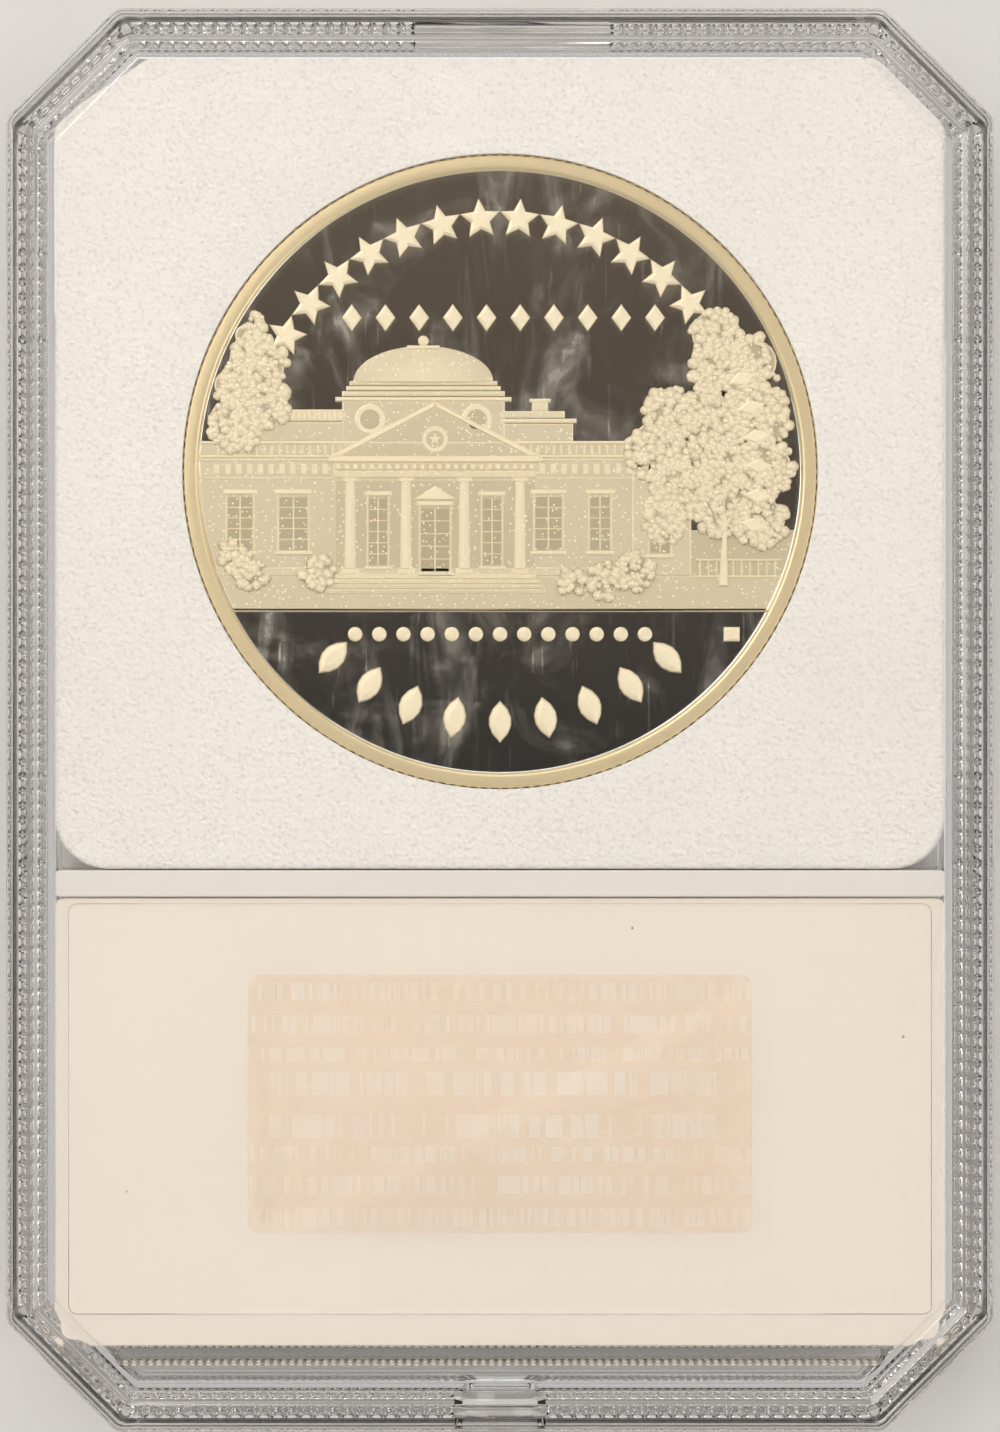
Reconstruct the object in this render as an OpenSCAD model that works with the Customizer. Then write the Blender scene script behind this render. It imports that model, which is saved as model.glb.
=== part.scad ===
// Graded coin slab: two clear shells that snap together round a foam insert with
// its coin, and round a label card and its backing in their own compartment. A
// skirt on the back shell drops into a rebate in the wall of the front shell.
// The slab lies on its front. +Y points to the coin end, -Y to the label end,
// and +Z is the back face. The origin is the centre of the front stacking rim.

/* [Slab] */
// Width of the slab across its two long sides
slab_w = 59; // [58:0.5:64]
// Length of the slab from the label end to the coin end
slab_l = 85; // [84:0.5:92]
// Thickness over both stacking rims
slab_t = 8.4; // [8.2:0.1:10]
// Length that each 45 degree corner takes off a side
corner_cut = 6.6; // [5.5:0.1:8]
// Radius that softens the eight corners of the outline
corner_r = 1; // [0.6:0.1:1.6]

/* [Shells] */
// Thickness of the two clear windows
window_t = 1.3; // [1:0.1:1.4]
// Height of the stacking rims over the windows
rim_h = 0.7; // [0.4:0.1:0.8]
// Width of the stacking rims
rim_w = 1.75; // [1.4:0.05:2.2]
// Wall between the outside and the inside of the slab
wall_t = 2.75; // [2.7:0.05:3.2]
// Width of the rib between the coin and label compartments
rib_w = 1.6; // [1:0.1:2]
// Width of the rib that closes the label compartment at its far end
end_rib_w = 0.9; // [0.7:0.1:1.2]
// Distance from the label end of the slab to the label compartment
end_rib_from_end = 4.9; // [4.6:0.1:6]
// Distance from the coin end to the coin side of that rib
rib_from_end = 51.5; // [51:0.1:54]

/* [Closing joint] */
// Height that the skirt of the back shell reaches into the front shell
skirt_h = 1.3; // [0.8:0.1:1.6]
// Thickness of the skirt
skirt_t = 0.7; // [0.5:0.05:0.9]
// Gap on every side of the skirt, its keys and the loose pieces
gap = 0.05; // [0.03:0.01:0.08]
// Length of the four keys on the skirt
key_l = 5.2; // [3:0.1:8]
// Distance that a key stands out from the skirt
key_out = 0.6; // [0.3:0.05:0.8]
// Width of the pry slot at the outside
pry_w = 5.5; // [4:0.1:8]
// Depth of the pry slot into the label end
pry_d = 3.1; // [2:0.1:3.4]
// Height of the pry slot
pry_h = 0.9; // [0.6:0.1:1.2]

/* [Coin and insert] */
// Diameter of the coin
coin_d = 38.1; // [36:0.1:40]
// Thickness of the coin over its rims
coin_t = 2.7; // [2.2:0.1:3]
// Width of the raised rim of the coin
coin_rim_w = 1.1; // [0.8:0.1:1.6]
// Room between the upper rim of the coin and the back window
coin_drop = 0.3; // [0.2:0.1:0.8]
// Distance from the coin end of the slab to the middle of the coin
coin_from_end = 27.6; // [27:0.1:28.5]
// Sideways and lengthways cut at the insert corner on the left
insert_cut_left = [5.6, 3.8];
// Sideways and lengthways cut at the insert corner on the right
insert_cut_right = [3.6, 3.6];
// Radius of the two insert corners beside the rib
insert_r = 3.2; // [2:0.1:4]

/* [Label and seal] */
// Thickness of the printed label card
card_t = 0.4; // [0.3:0.05:0.6]
// Inset of the shallow pad that holds the label down: at the sides, the far end and the rib
pad_in = [0.9, 2, 0.4];
// Height of that pad under the back window
pad_t = 0.2; // [0.1:0.05:0.3]
// Length, width and thickness of the seal
seal_size = [30.1, 15.4, 0.12];
// Distance from the middle of the label compartment to the middle of the seal
seal_shift = 1.2; // [-1.5:0.1:1.5]
// Corner radius of the seal
seal_r = 0.7; // [0.4:0.1:1.5]

/* [Hidden] */
eps = 0.01;
arc_steps = 4;
// Corner radius of every inner outline
inner_r = 0.6;
split_z = slab_t / 2;
floor_z = rim_h + window_t;
roof_z = slab_t - floor_z;
// Distances from the middle of the slab to its side and end faces and its corner cuts
half_w = slab_w / 2;
half_l = slab_l / 2;
diagonal = (half_w + half_l - corner_cut) / sqrt(2);
// The two compartments
cavity_half_w = half_w - wall_t;
coin_cavity_y = [half_l - rib_from_end, half_l - wall_t];
label_cavity_y = [-half_l + end_rib_from_end, half_l - rib_from_end - rib_w];
// The narrow hollow between the end rib and the end wall
end_hollow_y = [-half_l + wall_t, label_cavity_y[0] - end_rib_w];
coin_y = half_l - coin_from_end;
label_y = (label_cavity_y[0] + label_cavity_y[1]) / 2;
// The inner face of the skirt is flush with the inner face of the wall
skirt_in = wall_t - skirt_t;
key_places = [[-1, 25.5], [-1, -6], [1, 25.5], [1, -6]];
$fn = 96;

// Where the line with its normal at angle a and reach p meets the one at b and q
function meet(a, p, b, q) = [p * sin(b) - q * sin(a), q * cos(a) - p * cos(b)] / sin(b - a);

// Reach of side i of the outline, counted round from the right-hand side
function reach(i, inset) = (i % 2 == 1 ? diagonal : i % 4 == 0 ? half_w : half_l) - inset;

// Rounded corner between sides i and i + 1
function corner(i, inset, r) =
    let (middle = meet(45 * i, reach(i, inset) - r, 45 * (i + 1), reach(i + 1, inset) - r))
    [for (s = [0:arc_steps])
        let (angle = 45 * (i + s / arc_steps))
        middle + r * [cos(angle), sin(angle)]];

module outline(inset, r = corner_r) {
    polygon([for (i = [0:7]) each corner(i, inset, r)]);
}

module slice(z0, z1) {
    translate([0, 0, z0])
        linear_extrude(height = z1 - z0)
            children();
}

module box(x0, x1, y0, y1, z0, z1) {
    translate([x0, y0, z0])
        cube([x1 - x0, y1 - y0, z1 - z0]);
}

// Part of the inside outline that lies between two places along the slab
module compartment(y_range, inset = wall_t) {
    intersection() {
        outline(inset, inner_r);
        translate([-half_w, y_range[0]])
            square([slab_w, y_range[1] - y_range[0]]);
    }
}

module compartments(z0, z1, y_ranges) {
    for (y_range = y_ranges)
        slice(z0, z1) compartment(y_range);
}

module ring(inset, w) {
    difference() {
        outline(inset, inner_r);
        outline(inset + w, inner_r);
    }
}

// Blocks on the outer side of the skirt, or the keyways that they drop into
module keys(z0, z1, grow) {
    out = half_w - skirt_in + key_out + grow;
    root = half_w - skirt_in - skirt_t / 2;
    for (place = key_places)
        box(min(place[0] * out, place[0] * root), max(place[0] * out, place[0] * root),
            place[1] - key_l / 2 - grow, place[1] + key_l / 2 + grow, z0, z1);
}

// Wedge at the parting line that takes a blade, seen from above
module pry_outline() {
    polygon([
        [-pry_w / 2, -half_l - eps],
        [pry_w / 2, -half_l - eps],
        [pry_w / 2, -half_l + pry_d * 0.55],
        [pry_w * 0.28, -half_l + pry_d],
        [-pry_w * 0.28, -half_l + pry_d],
        [-pry_w / 2, -half_l + pry_d * 0.55]]);
}

// Upper part of the rib between the compartments, which reaches up to the back window
module divider() {
    x = cavity_half_w - gap;
    box(-x, x, label_cavity_y[1], coin_cavity_y[0], split_z - 1, roof_z - gap);
}

module front_shell() {
    color([0.88, 0.87, 0.90, 0.45])
        difference() {
            union() {
                slice(0, split_z) outline(0);
                divider();
            }
            slice(-eps, rim_h) outline(rim_w, inner_r);
            compartments(floor_z, split_z + eps, [coin_cavity_y, label_cavity_y, end_hollow_y]);
            slice(split_z - skirt_h - gap, split_z + eps) ring(skirt_in - gap, skirt_t + 2 * gap);
            keys(split_z - skirt_h - gap, split_z + eps, gap);
            slice(split_z - pry_h / 2, split_z + eps) pry_outline();
        }
}

// Shallow pad under the back window that holds the label against the front window
module label_pad() {
    box(-cavity_half_w + pad_in[0], cavity_half_w - pad_in[0],
        label_cavity_y[0] + pad_in[1], label_cavity_y[1] - pad_in[2], roof_z - pad_t, roof_z + eps);
}

module back_shell() {
    color([0.90, 0.88, 0.92, 0.40])
        difference() {
            union() {
                difference() {
                    slice(split_z, slab_t) outline(0);
                    slice(slab_t - rim_h, slab_t + eps) outline(rim_w, inner_r);
                    compartments(split_z - eps, roof_z, [[label_cavity_y[0], coin_cavity_y[1]], end_hollow_y]);
                }
                slice(split_z - skirt_h, split_z + eps) ring(skirt_in, skirt_t);
                keys(split_z - skirt_h, split_z + eps, 0);
                label_pad();
            }
            slice(split_z - skirt_h - eps, split_z + pry_h / 2) pry_outline();
        }
}

// Cut corners face the coin end, round corners stand beside the rib
module insert_outline() {
    x = cavity_half_w - gap;
    low = coin_cavity_y[0] + gap;
    high = coin_cavity_y[1] - gap;
    difference() {
        union() {
            translate([-x, low + insert_r])
                square([2 * x, high - low - insert_r]);
            translate([-x + insert_r, low])
                square([2 * (x - insert_r), insert_r + eps]);
            for (side = [-1, 1])
                translate([side * (x - insert_r), low + insert_r])
                    circle(insert_r);
        }
        polygon([[-x - eps, high - insert_cut_left[1]], [-x + insert_cut_left[0], high + eps], [-x - eps, high + eps]]);
        polygon([[x + eps, high - insert_cut_right[1]], [x - insert_cut_right[0], high + eps], [x + eps, high + eps]]);
    }
}

module coin_insert() {
    color([0.95, 0.93, 0.88])
        difference() {
            slice(floor_z + gap, roof_z - gap)
                intersection() {
                    insert_outline();
                    outline(wall_t + gap, inner_r);
                }
            translate([0, coin_y, floor_z])
                cylinder(d = coin_d + 2 * gap, h = roof_z - floor_z);
        }
}

// The coin lies with its reverse up, close to the back window
module coin() {
    dish_d = coin_d - 2 * coin_rim_w;
    dish_t = 0.25;
    color([0.86, 0.80, 0.62])
        translate([0, coin_y, roof_z - coin_drop - coin_t / 2])
            difference() {
                cylinder(d = coin_d, h = coin_t, center = true);
                for (side = [-1, 1])
                    translate([0, 0, side * coin_t / 2])
                        cylinder(d = dish_d, h = 2 * dish_t, center = true);
            }
}

// A plate that fits the label compartment with a gap all round
module label_plate(z0, z1) {
    slice(z0, z1) compartment([label_cavity_y[0] + gap, label_cavity_y[1] - gap], wall_t + gap);
}

module label_card() {
    color([0.90, 0.87, 0.86]) label_plate(floor_z + gap, floor_z + gap + card_t);
}

// Blank stock that fills the space between the card and the back window
module label_backing() {
    color([0.93, 0.88, 0.81]) label_plate(floor_z + 2 * gap + card_t, roof_z - pad_t - gap);
}

// The seal lies on the back window, within the height of the stacking rim
module security_seal() {
    x = seal_size[0] / 2 - seal_r;
    y = seal_size[1] / 2 - seal_r;
    color([0.89, 0.82, 0.74])
        translate([0, label_y + seal_shift, 0])
            slice(slab_t - rim_h, slab_t - rim_h + seal_size[2])
                union() {
                    square([2 * x, seal_size[1]], center = true);
                    square([seal_size[0], 2 * y], center = true);
                    for (side = [-1, 1], end = [-1, 1])
                        translate([side * x, end * y])
                            circle(seal_r, $fn = 32);
                }
}

front_shell();
back_shell();
coin_insert();
coin();
label_card();
label_backing();
security_seal();
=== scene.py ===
import math

import bmesh
import bpy
from mathutils import Matrix, Vector, geometry


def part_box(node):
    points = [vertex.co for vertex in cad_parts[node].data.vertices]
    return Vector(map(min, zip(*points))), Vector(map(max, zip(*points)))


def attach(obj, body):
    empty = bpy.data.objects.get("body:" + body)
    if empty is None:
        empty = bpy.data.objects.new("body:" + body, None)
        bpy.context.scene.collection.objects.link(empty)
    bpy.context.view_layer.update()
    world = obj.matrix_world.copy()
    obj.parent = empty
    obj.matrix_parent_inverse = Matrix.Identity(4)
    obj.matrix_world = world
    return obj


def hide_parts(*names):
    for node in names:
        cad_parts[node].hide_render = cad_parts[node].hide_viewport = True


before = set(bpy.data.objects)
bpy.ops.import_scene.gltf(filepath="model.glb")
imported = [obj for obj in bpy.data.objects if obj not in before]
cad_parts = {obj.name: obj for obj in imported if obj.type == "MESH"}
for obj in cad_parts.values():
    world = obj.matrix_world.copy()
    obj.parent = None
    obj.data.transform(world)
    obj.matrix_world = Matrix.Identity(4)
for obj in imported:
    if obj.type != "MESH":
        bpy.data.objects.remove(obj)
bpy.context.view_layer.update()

mm = 0.001
shellLow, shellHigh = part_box("front_shell")[0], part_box("back_shell")[1]
coinLow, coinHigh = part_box("coin")
insertLow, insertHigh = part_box("coin_insert")
cardLow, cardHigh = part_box("label_card")
backingLow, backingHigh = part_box("label_backing")
sealLow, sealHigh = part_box("security_seal")

halfWide = (shellHigh.x - shellLow.x) / 2 / mm
halfLong = (shellHigh.y - shellLow.y) / 2 / mm
slabTall = (shellHigh.z - shellLow.z) / mm
splitHeight = slabTall / 2
coinMiddle = (coinLow + coinHigh) / 2


def makePiece(name, corners, faces, smooth=()):
    # corners in millimetres; smooth holds the indices of the faces shaded round
    mesh = bpy.data.meshes.new(name)
    mesh.from_pydata([Vector(c) * mm for c in corners], [], faces)
    mesh.validate()
    mesh.update()
    shine = set(smooth)
    mesh.polygons.foreach_set("use_smooth", [f.index in shine for f in mesh.polygons])
    piece = bpy.data.objects.new(name, mesh)
    bpy.context.scene.collection.objects.link(piece)
    return piece


def outwards(piece):
    work = bmesh.new()
    work.from_mesh(piece.data)
    bmesh.ops.recalc_face_normals(work, faces=work.faces)
    work.to_mesh(piece.data)
    work.free()
    return piece


def joinMeshes(name, pieces):
    # one plain mesh from several objects that all sit at the origin
    work = bmesh.new()
    slots = []
    for each in pieces:
        start = len(work.faces)
        work.from_mesh(each.data)
        work.faces.ensure_lookup_table()
        for face in work.faces[start:]:
            material = each.data.materials[face.material_index] if each.data.materials else None
            if material not in slots:
                slots.append(material)
            face.material_index = slots.index(material)
    mesh = bpy.data.meshes.new(name)
    work.to_mesh(mesh)
    work.free()
    for material in slots:
        if material is not None:
            mesh.materials.append(material)
    for each in pieces:
        bpy.data.objects.remove(each)
    piece = bpy.data.objects.new(name, mesh)
    bpy.context.scene.collection.objects.link(piece)
    return piece


def finishPiece(piece, body, slot, material, *nodes):
    if material is not None and not piece.data.materials:
        piece.data.materials.append(material)
    if nodes:
        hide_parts(*nodes)
    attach(piece, body)
    print("made", piece.name, len(piece.data.polygons), "faces")
    return piece


slab = {
    "cornerCut": 6.6,
    "cornerRadius": 1.0,
    "arcSteps": 4,
    "keyPlaces": (25.5, -6.0),
    "keyLong": 5.2,
    "keyOut": 0.6,
    "smoothStretch": (-5.1, 6.6),
    "pryWide": 5.5,
    "pryDeep": 3.1,
    "pryTall": 0.9,
    "prySlope": 0.5,
    "stepWide": 0.04,
}
diagonalReach = (halfWide + halfLong - slab["cornerCut"]) / math.sqrt(2)


def sideReach(side, inset):
    full = diagonalReach if side % 2 else halfLong if side % 4 == 2 else halfWide
    return full - inset


def meet(a, p, b, q):
    spread = math.sin(b - a)
    return ((p * math.sin(b) - q * math.sin(a)) / spread, (q * math.cos(a) - p * math.cos(b)) / spread)


def pryHalf(inset):
    # half width of the pry slot, which narrows towards its inner end
    along = max(0.0, inset / slab["pryDeep"] - 0.55) / 0.45
    return slab["pryWide"] * (0.5 - 0.22 * min(1.0, along))


def sideMarks(side, inset):
    # extra points along a side, in the order that the outline runs
    step = slab["stepWide"]
    if side in (0, 4):
        half = slab["keyLong"] / 2
        marks = [y + e * (half + s) for y in slab["keyPlaces"] for e in (-1, 1) for s in (0, step)]
        return sorted(marks, reverse=side == 4)
    if side == 2:
        return sorted(slab["smoothStretch"], reverse=True)
    if side == 6:
        half = pryHalf(inset)
        return sorted(e * (half - s) for e in (-1, 1) for s in (0, slab["prySlope"]))
    return []


def outlinePoints(inset):
    radius = max(0.15, slab["cornerRadius"] - 0.3 * inset)
    points = []
    for side in range(8):
        a = math.radians(45 * side)
        b = a + math.radians(45)
        for mark in sideMarks(side, inset):
            flat = sideReach(side, inset) * (1 if side in (0, 2) else -1)
            points.append((flat, mark) if side in (0, 4) else (mark, flat))
        middle = meet(a, sideReach(side, inset) - radius, b, sideReach(side + 1, inset) - radius)
        for step in range(slab["arcSteps"] + 1):
            angle = a + (b - a) * step / slab["arcSteps"]
            points.append((middle[0] + radius * math.cos(angle), middle[1] + radius * math.sin(angle)))
    return points


def onKey(x, y):
    near = min(abs(y - place) for place in slab["keyPlaces"])
    return abs(x) > halfWide - 4 and near <= slab["keyLong"] / 2 + 0.01


def onPry(x, y, inset):
    return y < -halfLong + 4 and abs(x) <= pryHalf(inset) - slab["prySlope"] + 0.01


# rows of a swept skin: each row is one closed loop round the outline
class Skin:
    def __init__(self):
        self.corners = []
        self.faces = []
        self.smooth = []
        self.along = []
        self.push = []

    def addPoint(self, x, y, z, along=0.0, push=(0, 0, 0)):
        self.corners.append((x, y, z))
        self.along.append(along)
        self.push.append(push)
        return len(self.corners) - 1

    def addRow(self, inset, z, pitch=0.0, push=0.0, sideways=False, keyed=False, reshape=None):
        # pitch 0 gives a plain row; otherwise the row carries knurl beads of that pitch
        points = outlinePoints(inset)
        shift = keyInset(inset) if keyed else inset
        if shift != inset:
            moved = outlinePoints(shift)
            points = [m if onKey(*p) else p for p, m in zip(points, moved)]
        row = []
        for index, here in enumerate(points):
            there = points[(index + 1) % len(points)]
            gapX, gapY = there[0] - here[0], there[1] - here[1]
            length = math.hypot(gapX, gapY)
            beads = 0
            if pitch and length > 0.8 * pitch and not plainStretch(here, there, inset):
                beads = max(1, round(length / pitch))
            parts = beads * beadSteps(pitch) if beads else 1
            aside = (gapY / length, -gapX / length) if length else (0, 0)
            segment = []
            for part in range(parts):
                share = part / parts
                x, y = here[0] + gapX * share, here[1] + gapY * share
                height = reshape(x, y, z, inset) if reshape else z
                way = (-aside[0] * push, -aside[1] * push, 0) if sideways else (0, 0, push)
                segment.append(self.addPoint(x, y, height, beads * share, way if beads else (0, 0, 0)))
            row.append(segment)
        return row

    def addRows(self, profile, **kind):
        return [self.addRow(inset, z, **kind) for inset, z in profile]

    def bridge(self, first, second, smooth=False):
        count = len(first)
        for j in range(count):
            k = (j + 1) % count
            a = first[j] + [first[k][0]]
            b = second[j] + [second[k][0]]
            if len(a) == len(b):
                for i in range(len(a) - 1):
                    self.addFace([a[i], a[i + 1], b[i + 1], b[i]], smooth)
            else:
                self.addFace(a + b[::-1], False)

    def addFace(self, face, smooth):
        if smooth:
            self.smooth.append(len(self.faces))
        self.faces.append(face)

    def sweep(self, rows, smooth=()):
        for index in range(len(rows) - 1):
            self.bridge(rows[index], rows[index + 1], index in smooth)

    def cap(self, row):
        self.addFace([i for segment in row for i in segment], False)

    def capAround(self, row, holes):
        # a flat face with holes; every loop is a list of point indices
        loops = [[i for segment in row for i in segment], *holes]
        flat = [i for loop in loops for i in loop]
        points = [[Vector((*self.corners[i][:2], 0)) for i in loop] for loop in loops]
        for triangle in geometry.tessellate_polygon(points):
            self.addFace([flat[i] for i in triangle], False)

    def loop(self, points, z):
        return [self.addPoint(x, y, z) for x, y in points]

    def walls(self, loops, smooth=False):
        for first, second in zip(loops, loops[1:]):
            count = len(first)
            for i in range(count):
                k = (i + 1) % count
                self.addFace([first[i], first[k], second[k], second[i]], smooth)


def beadSteps(pitch):
    return 8 if pitch > 0.7 else 6


def plainStretch(here, there, inset):
    # the gate stretch at the coin end, the keys and the pry slot carry no beads
    x, y = (here[0] + there[0]) / 2, (here[1] + there[1]) / 2
    gate = y > halfLong - 4 and slab["smoothStretch"][0] < x < slab["smoothStretch"][1]
    return gate or (inset > 1.1 and onKey(x, y)) or onPry(x, y, inset)


def keyInset(inset):
    # rows of the joint squeeze outwards where a key stands
    start, root, out = 1.14, 2.05, 2.05 - slab["keyOut"]
    if inset <= start:
        return inset
    if inset <= root:
        return start + (inset - start) * (out - start) / (root - start)
    return max(out, out + (inset - root) * 1.6) if inset < 2.4 else inset


def roundedBox(x0, x1, y0, y1, radius, steps=4):
    radius = max(radius, 0.02)
    points = []
    for turn, (cx, cy) in enumerate(((x1, y1), (x0, y1), (x0, y0), (x1, y0))):
        mx = cx - radius if cx == x1 else cx + radius
        my = cy - radius if cy == y1 else cy + radius
        for step in range(steps + 1):
            angle = math.radians(90 * turn + 90 * step / steps)
            points.append((mx + radius * math.cos(angle), my + radius * math.sin(angle)))
    return points


def addRib(skin, box, root, tip, radius, rootRound=0.14):
    # a rib or pad that stands on a window; returns the loop at its root
    up = 1 if tip > root else -1
    r = rootRound
    edge = min(0.12, abs(tip - root) * 0.4)
    profile = [(r, root), (0.36 * r, root + up * 0.28 * r), (0.0, root + up * max(r, 0.02)),
               (0.0, tip - up * edge), (-0.3 * edge, tip - up * 0.25 * edge), (-edge, tip)]
    x0, x1, y0, y1 = box
    loops = [skin.loop(roundedBox(x0 - grow, x1 + grow, y0 - grow, y1 + grow, radius + grow), z)
             for grow, z in profile]
    skin.walls(loops, False)
    skin.addFace(list(loops[-1]), False)
    return loops[0]


def newTree(name, inputs):
    tree = bpy.data.node_groups.new(name, "GeometryNodeTree")
    tree.interface.new_socket("Geometry", in_out="INPUT", socket_type="NodeSocketGeometry")
    for label, socketType in inputs:
        tree.interface.new_socket(label, in_out="INPUT", socket_type=socketType)
    tree.interface.new_socket("Geometry", in_out="OUTPUT", socket_type="NodeSocketGeometry")
    return tree


def addNode(tree, kind, inputs=None, **settings):
    node = tree.nodes.new(kind)
    for key, value in settings.items():
        setattr(node, key, value)
    for key, value in (inputs or {}).items():
        target = node.inputs[key]
        if isinstance(value, bpy.types.NodeSocket):
            tree.links.new(value, target)
        else:
            target.default_value = value
    return node


def runTree(piece, tree, values):
    # gives the tree its inputs, takes the result as a plain mesh and drops the modifier
    modifier = piece.modifiers.new(tree.name, "NODES")
    modifier.node_group = tree
    for item in tree.interface.items_tree:
        if item.item_type == "SOCKET" and item.in_out == "INPUT" and item.name in values:
            modifier[item.identifier] = values[item.name]
    graph = bpy.context.evaluated_depsgraph_get()
    graph.update()
    mesh = bpy.data.meshes.new_from_object(piece.evaluated_get(graph), depsgraph=graph)
    piece.modifiers.remove(modifier)
    mesh.name = piece.name
    piece.data = mesh
    return piece


def addMath(tree, operation, *values, **settings):
    # the result of one arithmetic node
    inputs = dict(enumerate(values))
    return addNode(tree, "ShaderNodeMath", inputs, operation=operation, **settings).outputs[0]


def finishTree(tree, start, shapes):
    # real geometry from the copies, in the material that the tree was given
    whole = addNode(tree, "GeometryNodeRealizeInstances", {"Geometry": shapes})
    paint = addNode(tree, "GeometryNodeSetMaterial",
                    {"Geometry": whole.outputs[0], "Material": start.outputs["Material"]})
    end = addNode(tree, "NodeGroupOutput")
    tree.links.new(paint.outputs[0], end.inputs[0])


def knurlTree():
    tree = newTree("knurl", [("Height", "NodeSocketFloat"), ("Material", "NodeSocketMaterial")])
    start = addNode(tree, "NodeGroupInput")
    along = addNode(tree, "GeometryNodeInputNamedAttribute", {"Name": "along"}, data_type="FLOAT")
    push = addNode(tree, "GeometryNodeInputNamedAttribute", {"Name": "push"}, data_type="FLOAT_VECTOR")
    turn = addMath(tree, "MULTIPLY", along.outputs[0], math.pi)
    wave = addMath(tree, "SINE", turn)
    even = addMath(tree, "ABSOLUTE", wave)
    swell = addMath(tree, "POWER", even, 0.8)
    tall = addMath(tree, "MULTIPLY", swell, start.outputs["Height"])
    offset = addNode(tree, "ShaderNodeVectorMath", {0: push.outputs[0], 3: tall}, operation="SCALE")
    move = addNode(tree, "GeometryNodeSetPosition",
                   {"Geometry": start.outputs["Geometry"], "Offset": offset.outputs[0]})
    finishTree(tree, start, move.outputs[0])
    return tree


def skinPiece(name, skin, tree, material):
    piece = makePiece(name, skin.corners, skin.faces, skin.smooth)
    along = piece.data.attributes.new("along", "FLOAT", "POINT")
    along.data.foreach_set("value", skin.along)
    push = piece.data.attributes.new("push", "FLOAT_VECTOR", "POINT")
    push.data.foreach_set("vector", [v * mm for each in skin.push for v in each])
    outwards(piece)
    runTree(piece, tree, {"Height": 1.0, "Material": material})
    for label in ("along", "push"):
        spent = piece.data.attributes.get(label)
        if spent:
            piece.data.attributes.remove(spent)
    return piece


def shaderGroup(name, inputs, outputs):
    tree = bpy.data.node_groups.new(name, "ShaderNodeTree")
    for label, value in inputs:
        item = tree.interface.new_socket(label, in_out="INPUT", socket_type="NodeSocketFloat")
        item.default_value = value
    for label, kind in outputs:
        tree.interface.new_socket(label, in_out="OUTPUT", socket_type=kind)
    return tree, addNode(tree, "NodeGroupInput"), addNode(tree, "NodeGroupOutput")


def speckleGroup():
    # fine grain: a height that changes over the surface and a mask of sparse specks
    tree, start, end = shaderGroup("speckle",
                                   [("Grain Size", 0.1), ("Speck Size", 0.5), ("Speck Share", 0.1)],
                                   [("Height", "NodeSocketFloat"), ("Specks", "NodeSocketFloat")])
    place = addNode(tree, "ShaderNodeTexCoord").outputs["Object"]
    grainScale = addMath(tree, "DIVIDE", 1000.0, start.outputs["Grain Size"])
    speckScale = addMath(tree, "DIVIDE", 1000.0, start.outputs["Speck Size"])
    grain = addNode(tree, "ShaderNodeTexNoise", {"Vector": place, "Scale": grainScale, "Detail": 3.0})
    cells = addNode(tree, "ShaderNodeTexVoronoi", {"Vector": place, "Scale": speckScale})
    dots = addMath(tree, "LESS_THAN", cells.outputs["Distance"], start.outputs["Speck Share"])
    tree.links.new(grain.outputs["Fac"], end.inputs["Height"])
    tree.links.new(dots, end.inputs["Specks"])
    return tree


def wearGroup():
    # hairline scratches in three directions and broad faint smudges
    tree, start, end = shaderGroup("wear", [("Hairline Density", 0.5), ("Smudge Size", 10.0)],
                                   [("Hairlines", "NodeSocketFloat"), ("Smudges", "NodeSocketFloat")])
    place = addNode(tree, "ShaderNodeTexCoord").outputs["Object"]
    total = None
    for turn, stretch in ((0.5, 14.0), (1.75, 20.0), (2.6, 10.0)):
        mapping = addNode(tree, "ShaderNodeMapping", {"Vector": place, "Rotation": (0, 0, turn),
                                                      "Scale": (1000.0, 1000.0 / stretch, 1000.0)})
        lines = addNode(tree, "ShaderNodeTexNoise",
                        {"Vector": mapping.outputs[0], "Scale": 2.2, "Detail": 2.0, "Roughness": 0.7})
        level = addMath(tree, "SUBTRACT", 0.86, start.outputs["Hairline Density"])
        sharp = addMath(tree, "SUBTRACT", lines.outputs["Fac"], level)
        strong = addMath(tree, "MULTIPLY", sharp, 12.0, use_clamp=True)
        total = strong if total is None else addMath(tree, "MAXIMUM", total, strong)
    smudgeScale = addMath(tree, "DIVIDE", 1000.0, start.outputs["Smudge Size"])
    smudge = addNode(tree, "ShaderNodeTexNoise", {"Vector": place, "Scale": smudgeScale, "Detail": 5.0,
                                                  "Roughness": 0.62, "Distortion": 0.6})
    soft = addNode(tree, "ShaderNodeMapRange",
                   {"Value": smudge.outputs["Fac"], "From Min": 0.48, "From Max": 0.78})
    tree.links.new(total, end.inputs["Hairlines"])
    tree.links.new(soft.outputs[0], end.inputs["Smudges"])
    return tree


def newMaterial(name):
    material = bpy.data.materials.new(name)
    material.use_nodes = True
    tree = material.node_tree
    tree.nodes.clear()
    shader = tree.nodes.new("ShaderNodeBsdfPrincipled")
    out = tree.nodes.new("ShaderNodeOutputMaterial")
    tree.links.new(shader.outputs[0], out.inputs["Surface"])
    return material, tree, shader


def placeGroup(tree, group, values):
    node = tree.nodes.new("ShaderNodeGroup")
    node.node_tree = group
    for key, value in values.items():
        node.inputs[key].default_value = value
    return node


def mixColour(tree, factor, first, second):
    node = addNode(tree, "ShaderNodeMix", data_type="RGBA")
    for index, value in ((0, factor), (6, first), (7, second)):
        if isinstance(value, bpy.types.NodeSocket):
            tree.links.new(value, node.inputs[index])
        else:
            node.inputs[index].default_value = (*value, 1.0) if isinstance(value, tuple) else value
    return node.outputs[2]


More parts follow.
